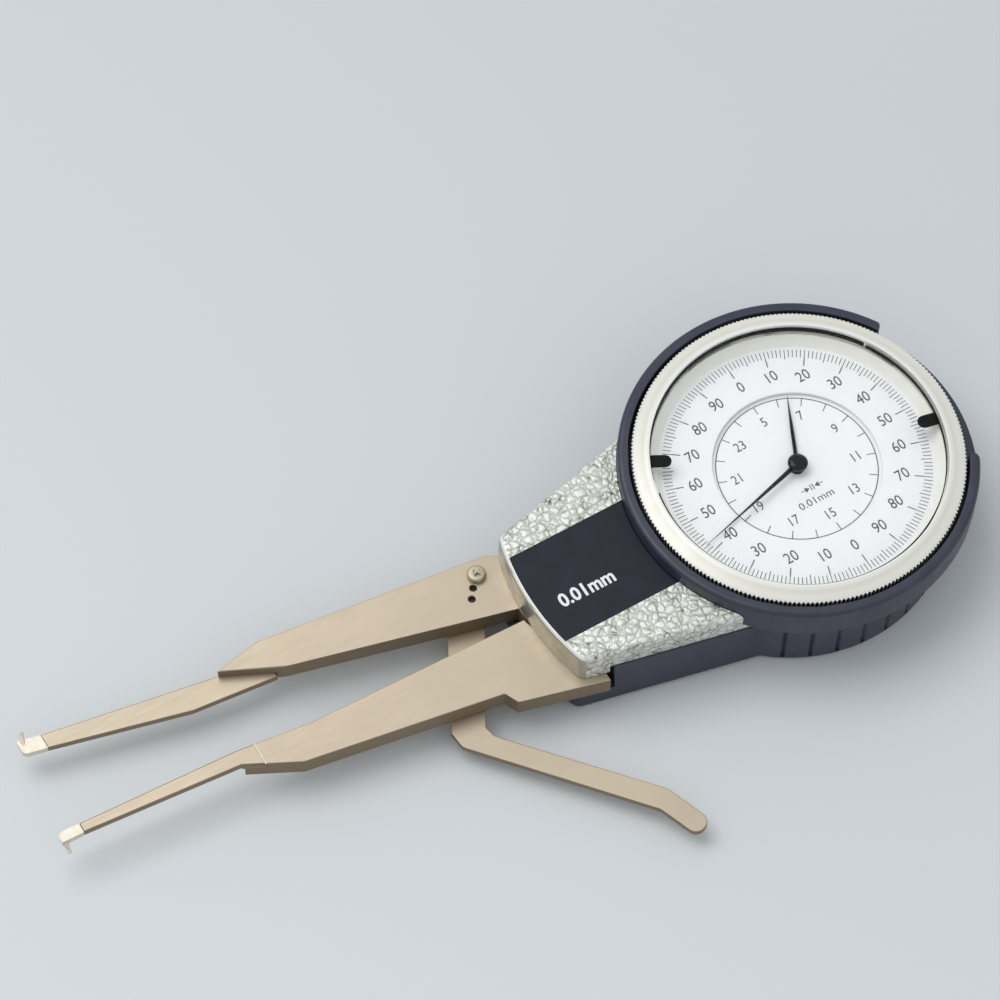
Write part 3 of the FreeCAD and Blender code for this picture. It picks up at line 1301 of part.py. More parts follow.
keep("movement_bottom_plate", movement_plate(
    "movement_bottom_plate", "bottom_plate_low", "bottom_plate_low + bottom_plate_thick",
    [(end_hole, TRANSFER_X, TRANSFER_Y), (end_hole, "0", "0")]
    + [("pillar_screw_radius + screw_clearance", x, y) for x, y in PILLARS]))
keep("movement_pillars", several("movement_pillars_group", [
    tube("pillar_%d" % number, "pillar_radius", "pillar_screw_radius + press_gap",
         "bottom_plate_low + bottom_plate_thick", "drum_ceiling - top_plate_thick", x, y)
    for number, (x, y) in enumerate(PILLARS)]))
keep("movement_screws", several("movement_screws_group", [
    screw("movement_screw_%d" % number, "bottom_plate_low", "drum_ceiling - pillar_screw_short",
          x, y, up=-1, radius="pillar_screw_radius", head="pillar_screw_head_radius",
          height="pillar_screw_head") for number, (x, y) in enumerate(PILLARS)]))
keep("hairspring", hairspring())
stud_x = "hairspring_inner + hairspring_pitch * hairspring_turns + hairspring_strip + stud_radius"
keep("hairspring_stud", cylinder("hairspring_stud_solid", "stud_radius",
                                 "bottom_plate_low + bottom_plate_thick",
                                 "hairspring_low + hairspring_height + hairspring_seat", stud_x, "0"))
keep("return_spring", return_spring())
keep("spring_post", spring_post())
opening, closing = stop_pins()
keep("opening_stop_pin", opening)
keep("closing_stop_pin", closing)

# The hands
keep("short_hand", hand("short_hand_form", "short_hand_length", "short_hand_width", "short_hand_low",
                        "hand_hub_radius", TUBE_RADIUS, SHORT_TURN))
long_hand_length = "%s - long_hand_end_gap" % SPACER_LOW
keep("long_hand", hand("long_hand_form", long_hand_length, "long_hand_width", "long_hand_low",
                       "hand_hub_radius", "centre_arbor_radius", LONG_TURN))
cap_low = "(long_hand_low + hand_thick)"
cap_bore = cylinder("hand_cap_bore", "centre_arbor_radius", "0",
                    "%s + arbor_above_hand" % cap_low)
keep("hand_cap", cut("hand_cap_solid", turned("hand_cap_form", [
    ("0", cap_low), ("cap_radius", cap_low), ("cap_radius", "%s + cap_height * cap_rim_share" % cap_low),
    ("cap_radius * cap_crown_share", "%s + cap_height" % cap_low), ("0", "%s + cap_height" % cap_low)],
    {2: ("cap_radius * cap_bulge_share", 1)}), cap_bore))

# Screws of the casings
keep("cover_screws", several("cover_screws_group", [
    screw("cover_screw_%d" % number, "screw_seat", "screw_seat + screw_length", x, y, up=-1)
    for number, (x, y) in enumerate(COVER_SCREWS)]))
keep("fixed_arm_screws", several("fixed_arm_screws_group", [
    screw("fixed_arm_screw_%d" % number, "arm_low", "%s + arm_screw_bite" % ARM_TOP, x, y, up=-1)
    for number, (x, y) in enumerate(ARM_SCREWS)]))

doc.recompute()
faults = [item.Name for item in doc.Objects if "Invalid" in item.State or "Error" in item.State]
for name, piece in nodes.items():
    if piece.Shape.isNull() or not piece.Shape.isValid() or not piece.Shape.Solids:
        faults.append(name)
if faults:
    raise SystemExit("not sound: " + ", ".join(faults))

os.makedirs("parts", exist_ok=True)
for name, piece in nodes.items():
    piece.Shape.exportStep("parts/%s.step" % name)
print(len(nodes), "sub-parts")
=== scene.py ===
"""Inside dial caliper gauge: two long measuring arms, a thumb lever and a dial reading to 0.01 mm.

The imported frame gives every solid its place. This file gives the pieces their finish, adds the
printing, and works over the pieces whose small edges and relief show in the hand. Lengths are in
metres.
"""
import json
import math

import bpy
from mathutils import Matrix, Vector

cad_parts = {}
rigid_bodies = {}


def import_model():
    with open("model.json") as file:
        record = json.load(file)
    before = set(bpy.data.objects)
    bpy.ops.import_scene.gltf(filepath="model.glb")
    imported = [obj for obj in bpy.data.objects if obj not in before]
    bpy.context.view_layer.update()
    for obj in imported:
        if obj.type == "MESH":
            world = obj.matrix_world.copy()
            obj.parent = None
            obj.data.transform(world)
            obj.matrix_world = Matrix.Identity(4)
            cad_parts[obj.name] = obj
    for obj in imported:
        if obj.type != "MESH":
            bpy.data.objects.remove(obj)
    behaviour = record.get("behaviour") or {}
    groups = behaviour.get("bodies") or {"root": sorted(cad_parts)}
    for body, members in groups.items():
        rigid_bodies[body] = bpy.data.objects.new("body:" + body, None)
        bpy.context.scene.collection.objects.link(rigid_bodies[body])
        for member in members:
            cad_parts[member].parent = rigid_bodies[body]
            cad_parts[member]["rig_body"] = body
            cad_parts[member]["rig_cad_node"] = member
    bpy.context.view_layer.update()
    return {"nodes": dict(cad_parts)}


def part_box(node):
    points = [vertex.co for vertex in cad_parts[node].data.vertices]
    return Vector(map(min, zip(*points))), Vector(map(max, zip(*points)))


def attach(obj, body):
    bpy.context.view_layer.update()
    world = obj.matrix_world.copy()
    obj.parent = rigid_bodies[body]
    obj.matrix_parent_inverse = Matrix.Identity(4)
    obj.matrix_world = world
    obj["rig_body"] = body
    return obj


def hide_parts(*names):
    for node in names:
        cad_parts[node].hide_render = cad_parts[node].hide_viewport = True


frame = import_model()


# The table and the light. The gauge lies on its back on a plain pale grey-blue sheet, under one
# wide soft lamp above and behind it, with an even sky and a weak lamp to lift the near sides.
def shade(red, green, blue):
    """A colour as seen, 0 to 255 each, in the linear values that a shader takes."""
    return tuple((part / 255) ** 2.2 for part in (red, green, blue)) + (1.0,)


def new_finish(name, colour, metallic, roughness):
    """A material of one shader, to which patterns are added."""
    finish = bpy.data.materials.new(name)
    finish.use_nodes = True
    shader = finish.node_tree.nodes["Principled BSDF"]
    shader.inputs["Base Color"].default_value = colour
    shader.inputs["Metallic"].default_value = metallic
    shader.inputs["Roughness"].default_value = roughness
    return finish


def spots(finish, size, stretch=(1, 1, 1), detail=3):
    """Soft spots about size metres across, in the piece's own coordinates."""
    nodes, links = finish.node_tree.nodes, finish.node_tree.links
    place = nodes.new("ShaderNodeTexCoord")
    mapping = nodes.new("ShaderNodeMapping")
    mapping.inputs["Scale"].default_value = stretch
    noise = nodes.new("ShaderNodeTexNoise")
    noise.inputs["Scale"].default_value = 1 / size
    noise.inputs["Detail"].default_value = detail
    links.new(place.outputs["Object"], mapping.inputs["Vector"])
    links.new(mapping.outputs["Vector"], noise.inputs["Vector"])
    return noise.outputs["Fac"]


def tint(finish, pattern, *stops):
    """Colours the finish along a pattern: each stop is a height of the pattern and its colour."""
    nodes, links = finish.node_tree.nodes, finish.node_tree.links
    ramp = nodes.new("ShaderNodeValToRGB").color_ramp
    ramp.elements[0].position, ramp.elements[0].color = stops[0]
    ramp.elements[1].position, ramp.elements[1].color = stops[-1]
    for position, colour in stops[1:-1]:
        ramp.elements.new(position).color = colour
    node = nodes[-1]
    links.new(pattern, node.inputs["Fac"])
    links.new(node.outputs["Color"], nodes["Principled BSDF"].inputs["Base Color"])


def dull(finish, pattern, low, high):
    """Lets the roughness run from low to high over the pattern's middle range."""
    nodes, links = finish.node_tree.nodes, finish.node_tree.links
    ranged = nodes.new("ShaderNodeMapRange")
    ranged.inputs["From Min"].default_value = 0.3
    ranged.inputs["From Max"].default_value = 0.7
    ranged.inputs["To Min"].default_value = low
    ranged.inputs["To Max"].default_value = high
    links.new(pattern, ranged.inputs["Value"])
    links.new(ranged.outputs["Result"], nodes["Principled BSDF"].inputs["Roughness"])


def relief(finish, pattern, height, strength=1.0):
    """Raises the surface by the pattern, height metres from its lowest to its highest."""
    nodes, links = finish.node_tree.nodes, finish.node_tree.links
    bump = nodes.new("ShaderNodeBump")
    bump.inputs["Distance"].default_value = height
    bump.inputs["Strength"].default_value = strength
    links.new(pattern, bump.inputs["Height"])
    links.new(bump.outputs["Normal"], nodes["Principled BSDF"].inputs["Normal"])


bpy.ops.object.select_all(action="DESELECT")
bpy.ops.mesh.primitive_grid_add(x_subdivisions=8, y_subdivisions=8, size=24,
                                location=(0, 0, -0.00003))
table = bpy.context.object
table.name = "table"
table_sheet = new_finish("table_sheet", shade(208, 211, 213), 0.0, 0.62)
nodes, links = table_sheet.node_tree.nodes, table_sheet.node_tree.links
table_place = nodes.new("ShaderNodeTexCoord")
# Painted light: the sheet is painted lighter towards the near left, a pool of the lamps' light.
table_across = nodes.new("ShaderNodeVectorMath")
table_across.operation = "DOT_PRODUCT"
table_across.inputs[1].default_value = (-0.75, -0.66, 0)
table_painted_light = nodes.new("ShaderNodeMapRange")
table_painted_light.inputs["From Min"].default_value = -0.1
table_painted_light.inputs["From Max"].default_value = 0.16
links.new(table_place.outputs["Object"], table_across.inputs[0])
links.new(table_across.outputs["Value"], table_painted_light.inputs["Value"])
tint(table_sheet, table_painted_light.outputs["Result"], (0.0, shade(204, 208, 210)),
     (1.0, shade(217, 220, 222)))
# From below the sheet is clear. A window in it under the cover, narrower towards the arms, lets
# light through, so that the gauge's back can be looked at. It is hidden from above by the gauge.
window_start, window_end = -0.0415, -0.002
table_back = nodes.new("ShaderNodeNewGeometry")
table_clear = nodes.new("ShaderNodeBsdfTransparent")
table_side = nodes.new("ShaderNodeMixShader")
table_parts = nodes.new("ShaderNodeSeparateXYZ")
window_along = nodes.new("ShaderNodeClamp")
window_along.inputs["Min"].default_value = window_start
window_along.inputs["Max"].default_value = window_end
window_off = nodes.new("ShaderNodeMath")
window_off.operation = "SUBTRACT"
window_arm = nodes.new("ShaderNodeCombineXYZ")
window_reach = nodes.new("ShaderNodeVectorMath")
window_reach.operation = "LENGTH"
window_wide = nodes.new("ShaderNodeMapRange")
window_wide.inputs["From Min"].default_value = window_start
window_wide.inputs["From Max"].default_value = window_end
window_wide.inputs["To Min"].default_value = 0.0155
window_wide.inputs["To Max"].default_value = 0.0300
window = nodes.new("ShaderNodeMath")
window.operation = "LESS_THAN"
table_open = nodes.new("ShaderNodeMath")
table_open.operation = "MAXIMUM"
links.new(table_place.outputs["Object"], table_parts.inputs["Vector"])
links.new(table_parts.outputs["X"], window_along.inputs["Value"])
links.new(table_parts.outputs["X"], window_off.inputs[0])
links.new(window_along.outputs["Result"], window_off.inputs[1])
links.new(window_off.outputs["Value"], window_arm.inputs["X"])
links.new(table_parts.outputs["Y"], window_arm.inputs["Y"])
links.new(window_arm.outputs["Vector"], window_reach.inputs[0])
links.new(window_along.outputs["Result"], window_wide.inputs["Value"])
links.new(window_reach.outputs["Value"], window.inputs[0])
links.new(window_wide.outputs["Result"], window.inputs[1])
links.new(table_back.outputs["Backfacing"], table_open.inputs[0])
links.new(window.outputs["Value"], table_open.inputs[1])
links.new(table_open.outputs["Value"], table_side.inputs[0])
links.new(nodes["Principled BSDF"].outputs["BSDF"], table_side.inputs[1])
links.new(table_clear.outputs["BSDF"], table_side.inputs[2])
links.new(table_side.outputs["Shader"], nodes["Material Output"].inputs["Surface"])
table.data.materials.append(table_sheet)

sky = bpy.data.worlds.new("sky")
sky.use_nodes = True
sky.node_tree.nodes["Background"].inputs["Color"].default_value = (0.93, 0.97, 1.0, 1.0)
sky.node_tree.nodes["Background"].inputs["Strength"].default_value = 0.64
bpy.context.scene.world = sky

bpy.ops.object.light_add(type="AREA", location=(-0.35, 0.55, 1.25))
main_lamp = bpy.context.object
main_lamp.rotation_euler = (math.radians(-24), math.radians(-15), 0)
main_lamp.data.shape = "RECTANGLE"
main_lamp.data.size = 1.1
main_lamp.data.size_y = 0.9
main_lamp.data.energy = 8.1
bpy.ops.object.light_add(type="AREA", location=(0.5, -0.7, 0.9))
near_lamp = bpy.context.object
near_lamp.rotation_euler = (math.radians(38), math.radians(29), 0)
near_lamp.data.size = 0.9
near_lamp.data.energy = 0.5

bpy.ops.object.camera_add(location=(-0.24818, -0.28987, 0.66772))
camera = bpy.context.object
camera.rotation_euler = (math.radians(29.46388), math.radians(-0.79725), math.radians(-30.75443))
camera.data.lens = 144
camera.data.sensor_width = 36
camera.data.clip_start = 0.05
bpy.context.scene.camera = camera
bpy.context.scene.view_settings.view_transform = "Standard"


# The back cover and its floor: one moulding of dark blue-grey plastic with a fine spark-eroded
# grain, closed by four countersunk screws. The grip grooves of its wall are moulded in.
def dress(finish, *nodes):
    """Gives CAD nodes their finish."""
    for node in nodes:
        frame["nodes"][node].data.materials.clear()
        frame["nodes"][node].data.materials.append(finish)


dark_plastic = new_finish("dark_plastic", shade(53, 56, 70), 0.0, 0.36)
tint(dark_plastic, spots(dark_plastic, 0.006, detail=2), (0.3, shade(49, 52, 65)),
     (0.7, shade(56, 59, 74)))
dull(dark_plastic, spots(dark_plastic, 0.0015), 0.32, 0.42)
relief(dark_plastic, spots(dark_plastic, 0.00022, detail=1), 0.00001, 0.5)
dress(dark_plastic, "back_cover")


# The cover screws: four small countersunk steel screws with a cross recess, nickel plated,
# driven from below into the bosses of the housing.
def merged_copy(node, name):
    """A copy of a CAD node with its loose triangles joined and its flats made whole."""
    bpy.ops.object.select_all(action="DESELECT")
    solid = frame["nodes"][node]
    solid.select_set(True)
    bpy.context.view_layer.objects.active = solid
    bpy.ops.object.duplicate()
    piece = bpy.context.object
    piece.name = name
    piece.data.name = name
    del piece["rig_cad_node"]
    del piece["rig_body"]
    bpy.ops.object.parent_clear(type="CLEAR_KEEP_TRANSFORM")
    bpy.ops.object.mode_set(mode="EDIT")
    bpy.ops.mesh.select_all(action="SELECT")
    bpy.ops.mesh.customdata_custom_splitnormals_clear()
    bpy.ops.mesh.remove_doubles(threshold=2e-6)
    bpy.ops.mesh.dissolve_limited(angle_limit=math.radians(0.6))
    bpy.ops.object.mode_set(mode="OBJECT")
    return piece


def take_away(piece, tool):
    """Cuts the tool's shape out of the piece and clears the tool."""
    bpy.ops.object.select_all(action="DESELECT")
    piece.select_set(True)
    bpy.context.view_layer.objects.active = piece
    bpy.ops.object.modifier_add(type="BOOLEAN")
    cut = piece.modifiers[-1]
    cut.operation = "DIFFERENCE"
    cut.solver = "EXACT"
    cut.object = tool
    bpy.ops.object.modifier_apply(modifier=cut.name)
    bpy.ops.object.select_all(action="DESELECT")
    tool.select_set(True)
    bpy.ops.object.delete()


def cross_recess(piece, place, face, floor, reach, thick, turn):
    """Presses a tapered cross into a screw head, from its face in to the recess's floor."""
    for quarter in (0, 90):
        bpy.ops.object.select_all(action="DESELECT")
        bpy.ops.mesh.primitive_cube_add(size=1, location=(place[0], place[1], face))
        punch = bpy.context.object
        punch.scale = (2 * reach, thick, 2 * abs(face - floor))
        punch.rotation_euler = (0, 0, math.radians(turn + quarter))
        bpy.ops.object.transform_apply(location=True, rotation=True, scale=True)
        for corner in punch.data.vertices:
            corner.select = abs(corner.co.z - floor) < 1e-5
        bpy.ops.object.mode_set(mode="EDIT")
        bpy.ops.mesh.select_mode(type="VERT")
        bpy.ops.transform.resize(value=(0.6, 0.6, 1), center_override=(place[0], place[1], floor))
        bpy.ops.object.mode_set(mode="OBJECT")
        take_away(piece, punch)


bright_steel = new_finish("bright_steel", shade(196, 196, 192), 1.0, 0.28)
tint(bright_steel, spots(bright_steel, 0.0012), (0.3, shade(176, 176, 172)),
     (0.7, shade(206, 206, 201)))
dull(bright_steel, spots(bright_steel, 0.0005), 0.20, 0.38)
cover_screws = merged_copy("cover_screws", "cover_screw_set")
cover_screws.data.materials.clear()
cover_screws.data.materials.append(bright_steel)
screw_face, screw_recess_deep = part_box("cover_screws")[0][2], 0.0007
for place, turn in (((-0.034, 0.0153), 12), ((-0.034, -0.0153), 57), ((0.01671, 0.01871), 35),
                    ((0.01671, -0.01871), 80)):
    cross_recess(cover_screws, place, screw_face, screw_face + screw_recess_deep, 0.001, 0.00042,
                 turn)
bpy.ops.object.select_all(action="DESELECT")
cover_screws.select_set(True)
bpy.context.view_layer.objects.active = cover_screws
bpy.ops.object.shade_smooth_by_angle(angle=math.radians(30))
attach(cover_screws, "frame")
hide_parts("cover_screws")


# The guard ring: a moulded ring of the same dark plastic round the dial. It is high over half
# its way round and drops to a low rim where the fingers turn the bezel. It snaps on the housing.
ring = merged_copy("guard_ring", "guard_ring_moulding")
ring.data.materials.clear()
ring.data.materials.append(dark_plastic)
# Its inner top edge is sharper than its outer one, and its top stands a little higher
ring_inside, ring_top = 0.0321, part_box("guard_ring")[1][2]
ring_edge, ring_edge_left = 0.0009, 0.2
ring_top_zone, ring_raised = 0.0015, 0.0003
for corner in ring.data.vertices:
    reach = math.hypot(corner.co.x, corner.co.y)
    if reach < ring_inside + ring_edge and corner.co.z > ring_top - ring_edge:
        drawn_in = (ring_inside + (reach - ring_inside) * ring_edge_left) / reach
        corner.co = (corner.co.x * drawn_in, corner.co.y * drawn_in,
                     ring_top - (ring_top - corner.co.z) * ring_edge_left)
    if corner.co.z > ring_top - ring_top_zone:
        corner.co.z += ring_raised
# The two ends of the high part are rounded off at their outer corners, with a cutter that is a
# block less a cylinder of the corner's radius
end_round, ring_outside = 0.0018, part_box("guard_ring")[1][0]
block_wide, block_high = 0.002, 0.01
ends = []
for face in ring.data.polygons:
    middle = face.center.xy.normalized()
    if abs(face.normal.xy.dot(middle)) < 0.1 and abs(face.normal.z) < 0.1 and face.area > 2e-6:
        ends.append((math.atan2(middle.y, middle.x), face.normal.xy.copy(), min(
            ring.data.vertices[number].co.z for number in face.vertices)))
for angle, outward, foot in ends:
    out_x, out_y = math.cos(angle), math.sin(angle)
    bend = ((ring_outside - end_round) * out_x - end_round * outward.x,
            (ring_outside - end_round) * out_y - end_round * outward.y)
    bpy.ops.object.select_all(action="DESELECT")
    bpy.ops.mesh.primitive_cube_add(size=1, location=(
        bend[0] + block_wide / 2 * (out_x + outward.x),
        bend[1] + block_wide / 2 * (out_y + outward.y), foot + block_high / 2))
    corner_block = bpy.context.object
    corner_block.scale = (block_wide, block_wide, block_high)
    corner_block.rotation_euler = (0, 0, angle)
    bpy.ops.object.transform_apply(location=True, rotation=True, scale=True)
    bpy.ops.object.select_all(action="DESELECT")
    bpy.ops.mesh.primitive_cylinder_add(vertices=64, radius=end_round, depth=2 * block_high,
                                        location=(bend[0], bend[1], foot + block_high / 2))
    take_away(corner_block, bpy.context.object)
    take_away(ring, corner_block)
bpy.ops.object.select_all(action="DESELECT")
ring.select_set(True)
bpy.context.view_layer.objects.active = ring
bpy.ops.object.shade_smooth_by_angle(angle=math.radians(35))
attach(ring, "frame")
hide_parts("guard_ring")


# The front housing: a zinc casting sprayed with silver hammer paint, which dries in rounded
# cells with darker seams between them. Its front band and the lip before the label stay smooth.
def paint_faces(piece, rest_finish, chosen_finish, test):
    """One finish all over the piece, and another on the faces that pass the test."""
    piece.data.materials.clear()
    piece.data.materials.append(rest_finish)
    piece.data.materials.append(chosen_finish)
    for face in piece.data.polygons:
        face.material_index = 1 if test(face) else 0


housing = merged_copy("front_housing", "housing_casting")
hammer_paint = new_finish("hammer_paint", shade(206, 207, 199), 0.3, 0.38)
nodes, links = hammer_paint.node_tree.nodes, hammer_paint.node_tree.links
hammer_place = nodes.new("ShaderNodeTexCoord")
hammer_bend = nodes.new("ShaderNodeTexNoise")
hammer_bend.inputs["Scale"].default_value = 520
hammer_bent = 0.0017
hammer_push = nodes.new("ShaderNodeVectorMath")
hammer_push.operation = "MULTIPLY_ADD"
hammer_push.inputs[1].default_value = (hammer_bent, hammer_bent, hammer_bent)
hammer_cells = nodes.new("ShaderNodeTexVoronoi")
hammer_cells.feature = "DISTANCE_TO_EDGE"
hammer_cells.inputs["Scale"].default_value = 700
links.new(hammer_place.outputs["Object"], hammer_bend.inputs["Vector"])
links.new(hammer_bend.outputs["Color"], hammer_push.inputs[0])
links.new(hammer_place.outputs["Object"], hammer_push.inputs[2])
links.new(hammer_push.outputs["Vector"], hammer_cells.inputs["Vector"])
# The lip is where the paint is wiped off: a strip within 0.8 mm of the front edge, whose bow has
# its centre on the gauge's middle line
front_place = nodes.new("ShaderNodeVectorMath")
front_place.operation = "MULTIPLY_ADD"
front_place.inputs[1].default_value = (1, 1, 0)
front_place.inputs[2].default_value = (0.00687, 0, 0)
front_reach = nodes.new("ShaderNodeVectorMath")
front_reach.operation = "LENGTH"
wiped = nodes.new("ShaderNodeMapRange")
wiped_from, wiped_whole = 0.0511, 0.0514
wiped.inputs["From Min"].default_value = wiped_from
wiped.inputs["From Max"].default_value = wiped_whole
links.new(hammer_place.outputs["Object"], front_place.inputs[0])
links.new(front_place.outputs["Vector"], front_reach.inputs[0])
links.new(front_reach.outputs["Value"], wiped.inputs["Value"])
seam_breaks = nodes.new("ShaderNodeMath")
seam_breaks.operation = "MULTIPLY_ADD"
seam_breaks.inputs[1].default_value = 0.55
links.new(spots(hammer_paint, 0.0019, detail=3), seam_breaks.inputs[0])
links.new(hammer_cells.outputs["Distance"], seam_breaks.inputs[2])
seams = nodes.new("ShaderNodeMath")
seams.operation = "MAXIMUM"
links.new(seam_breaks.outputs["Value"], seams.inputs[0])
links.new(wiped.outputs["Result"], seams.inputs[1])
tint(hammer_paint, seams.outputs["Value"], (0.19, shade(78, 76, 62)),
     (0.225, shade(140, 139, 124)), (0.27, shade(190, 190, 179)), (0.36, shade(217, 217, 208)),
     (0.6, shade(234, 234, 227)))
domes = nodes.new("ShaderNodeMapRange")
domes.interpolation_type = "SMOOTHSTEP"
domes.inputs["From Min"].default_value = 0.18
domes.inputs["From Max"].default_value = 0.58
links.new(seams.outputs["Value"], domes.inputs["Value"])
relief(hammer_paint, domes.outputs["Result"], 0.00026, 0.8)
smooth_silver = new_finish("smooth_silver", shade(188, 187, 178), 0.85, 0.3)
tint(smooth_silver, spots(smooth_silver, 0.004, detail=1), (0.3, shade(178, 177, 166)),
     (0.7, shade(194, 193, 184)))
dull(smooth_silver, spots(smooth_silver, 0.003, detail=1), 0.3, 0.4)


def front_band(face):
    """The bowed front below the rounded top edge, and what lies under the casting."""
    return (face.normal.x < -0.4 and face.normal.z < 0.5) or face.normal.z < -0.5


paint_faces(housing, hammer_paint, smooth_silver, front_band)
bpy.ops.object.select_all(action="DESELECT")
housing.select_set(True)
bpy.context.view_layer.objects.active = housing
bpy.ops.object.shade_smooth_by_angle(angle=math.radians(28))
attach(housing, "frame")
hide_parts("front_housing")


# The label plate: a thin moulded plate of dark blue-grey plastic glued in the recess of the
# housing, with the reading printed in white. Its upper part is left bare.
def break_edges(piece, width, steps=2, over=32):
    """Rounds every edge of the piece that turns by more than the given degrees."""
    bpy.ops.object.select_all(action="DESELECT")
    piece.select_set(True)
    bpy.context.view_layer.objects.active = piece
    bpy.ops.object.shade_smooth_by_angle(angle=math.radians(over))
    bpy.ops.object.modifier_add(type="BEVEL")
    edge = piece.modifiers[-1]
    edge.width = width
    edge.segments = steps
    edge.limit_method = "ANGLE"
    edge.angle_limit = math.radians(over)
    edge.use_clamp_overlap = False
    edge.harden_normals = True
    bpy.ops.object.modifier_apply(modifier=edge.name)


def lettering(words, height, place, turn=0.0, width=0.85, weight=0.0):
    """Printed words as a thin raised mesh, centred on a place, with capitals of a height."""
    bpy.ops.object.select_all(action="DESELECT")
    bpy.ops.object.text_add(location=place, rotation=(0, 0, turn))
    piece = bpy.context.object
    piece.data.body = words
    piece.data.size = height / 0.7
    piece.data.align_x = "CENTER"
    piece.data.align_y = "CENTER"
    piece.data.resolution_u = 3
    piece.data.offset = weight
    piece.data.extrude = 0.00001
    piece.scale = (width, 1, 1)
    bpy.ops.object.convert(target="MESH")
    bpy.ops.object.transform_apply(location=True, rotation=True, scale=True)
    return bpy.context.object


def joined(name, pieces):
    """Several meshes made one, under a name."""
    bpy.ops.object.select_all(action="DESELECT")
    for piece in pieces:
        piece.select_set(True)
    bpy.context.view_layer.objects.active = pieces[0]
    if len(pieces) > 1:
        bpy.ops.object.join()
    pieces[0].name = name
    pieces[0].data.name = name
    return pieces[0]


label = merged_copy("label_plate", "label_panel")
label_finish = new_finish("label_finish", shade(38, 40, 51), 0.0, 0.46)
label_finish.node_tree.nodes["Principled BSDF"].inputs["Specular IOR Level"].default_value = 0.25
tint(label_finish, spots(label_finish, 0.004, detail=2), (0.3, shade(35, 37, 47)),
     (0.7, shade(40, 42, 54)))
relief(label_finish, spots(label_finish, 0.0003, detail=1), 0.00001, 0.4)
label.data.materials.clear()
label.data.materials.append(label_finish)
break_edges(label, 0.00012)
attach(label, "frame")
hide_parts("label_plate")

label_print = 0.016555
label_words = joined("label_words", [lettering(
    "0.01mm", 0.0027, (-0.0480, -0.0026, label_print), width=0.93, weight=0.00011)])
white_ink = new_finish("white_ink", shade(238, 240, 242), 0.0, 0.5)
dull(white_ink, spots(white_ink, 0.0004), 0.42, 0.56)
label_words.data.materials.append(white_ink)
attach(label_words, "frame")


# The two arms: milled from steel plate and plated in a pale champagne nickel, ground flat above
# and below. Their milled sides are painted darker, as painted shade for the dark they reflect.
# The moving arm turns on the pin inside the housing.
def plated(name, colour, low, high):
    """Champagne nickel plate with the fine lengthways lines of its grinding."""
    finish = new_finish(name, colour, 0.6, 0.4)
    along = spots(finish, 0.00035, stretch=(0.06, 1, 1))
    broad = spots(finish, 0.012, stretch=(0.5, 1, 1), detail=2)
    tint(finish, broad, (0.3, tuple(0.93 * part for part in colour[:3]) + (1.0,)), (0.7, colour))
    dull(finish, along, low, high)
    relief(finish, along, 0.000012, 0.5)
    return finish


champagne = plated("champagne_plate", shade(193, 178, 156), 0.36, 0.48)
# The sides' darker copy of the plating is painted shade, not a different plating.
champagne_painted_shade = plated("champagne_painted_shade", shade(142, 124, 101), 0.42, 0.54)


def plated_bar(node, name, width, level=0.5):
    """A flat plated bar: the CAD solid with its edges broken and its sides in painted shade."""
    bar = merged_copy(node, name)
    break_edges(bar, width)
    paint_faces(bar, champagne_painted_shade, champagne, lambda face: abs(face.normal.z) > level)
    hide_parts(node)
    return bar


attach(plated_bar("moving_arm", "moving_arm_bar", 0.00022), "arm")
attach(plated_bar("fixed_arm", "fixed_arm_bar", 0.00022), "frame")

# The fingers: two slim tapered blades of the same plated steel, brazed under the arms' noses,
# each ending in a measuring tip.
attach(plated_bar("moving_finger", "moving_finger_blade", 0.00016, 0.97), "arm")
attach(plated_bar("fixed_finger", "fixed_finger_blade", 0.00022, 0.97), "frame")

# The braze line: silver solder across the top where the fixed finger is let into its arm, filed
# flush with both
bpy.ops.object.select_all(action="DESELECT")
braze_deep, finger_top = 0.00024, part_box("fixed_finger")[1][2]
bpy.ops.mesh.primitive_cube_add(size=1, location=(-0.115, 0.001575, finger_top - 0.00013))
braze_line = bpy.context.object
braze_line.name = "braze_line"
braze_line.scale = (0.00038, 0.0046, braze_deep)
bpy.ops.object.transform_apply(location=True, rotation=True, scale=True)
break_edges(braze_line, 0.00006)
silver_solder = new_finish("silver_solder", shade(212, 203, 184), 0.4, 0.45)
tint(silver_solder, spots(silver_solder, 0.0007), (0.3, shade(200, 189, 168)),
     (0.7, shade(220, 212, 195)))
dull(silver_solder, spots(silver_solder, 0.0004), 0.4, 0.52)
braze_line.data.materials.append(silver_solder)
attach(braze_line, "frame")

# The measuring tips: small hooked ends of hardened steel, ground to a ball that touches the
# groove. They are lighter and smoother than the blades.
tip_steel = new_finish("tip_steel", shade(222, 212, 194), 0.4, 0.4)
tint(tip_steel, spots(tip_steel, 0.0008), (0.3, shade(214, 203, 184)), (0.7, shade(228, 219, 202)))
dull(tip_steel, spots(tip_steel, 0.0003), 0.34, 0.46)
dress(tip_steel, "moving_tip", "fixed_tip")

# The thumb lever: stamped from plated steel strip and bent twice, screwed and doweled under the
# moving arm, with its end rounded for the thumb. Pressing it closes the arms.
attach(plated_bar("lever", "lever_strip", 0.00025), "arm")
# The spacer wears the sides' painted shade all over.
dress(champagne_painted_shade, "lever_spacer")
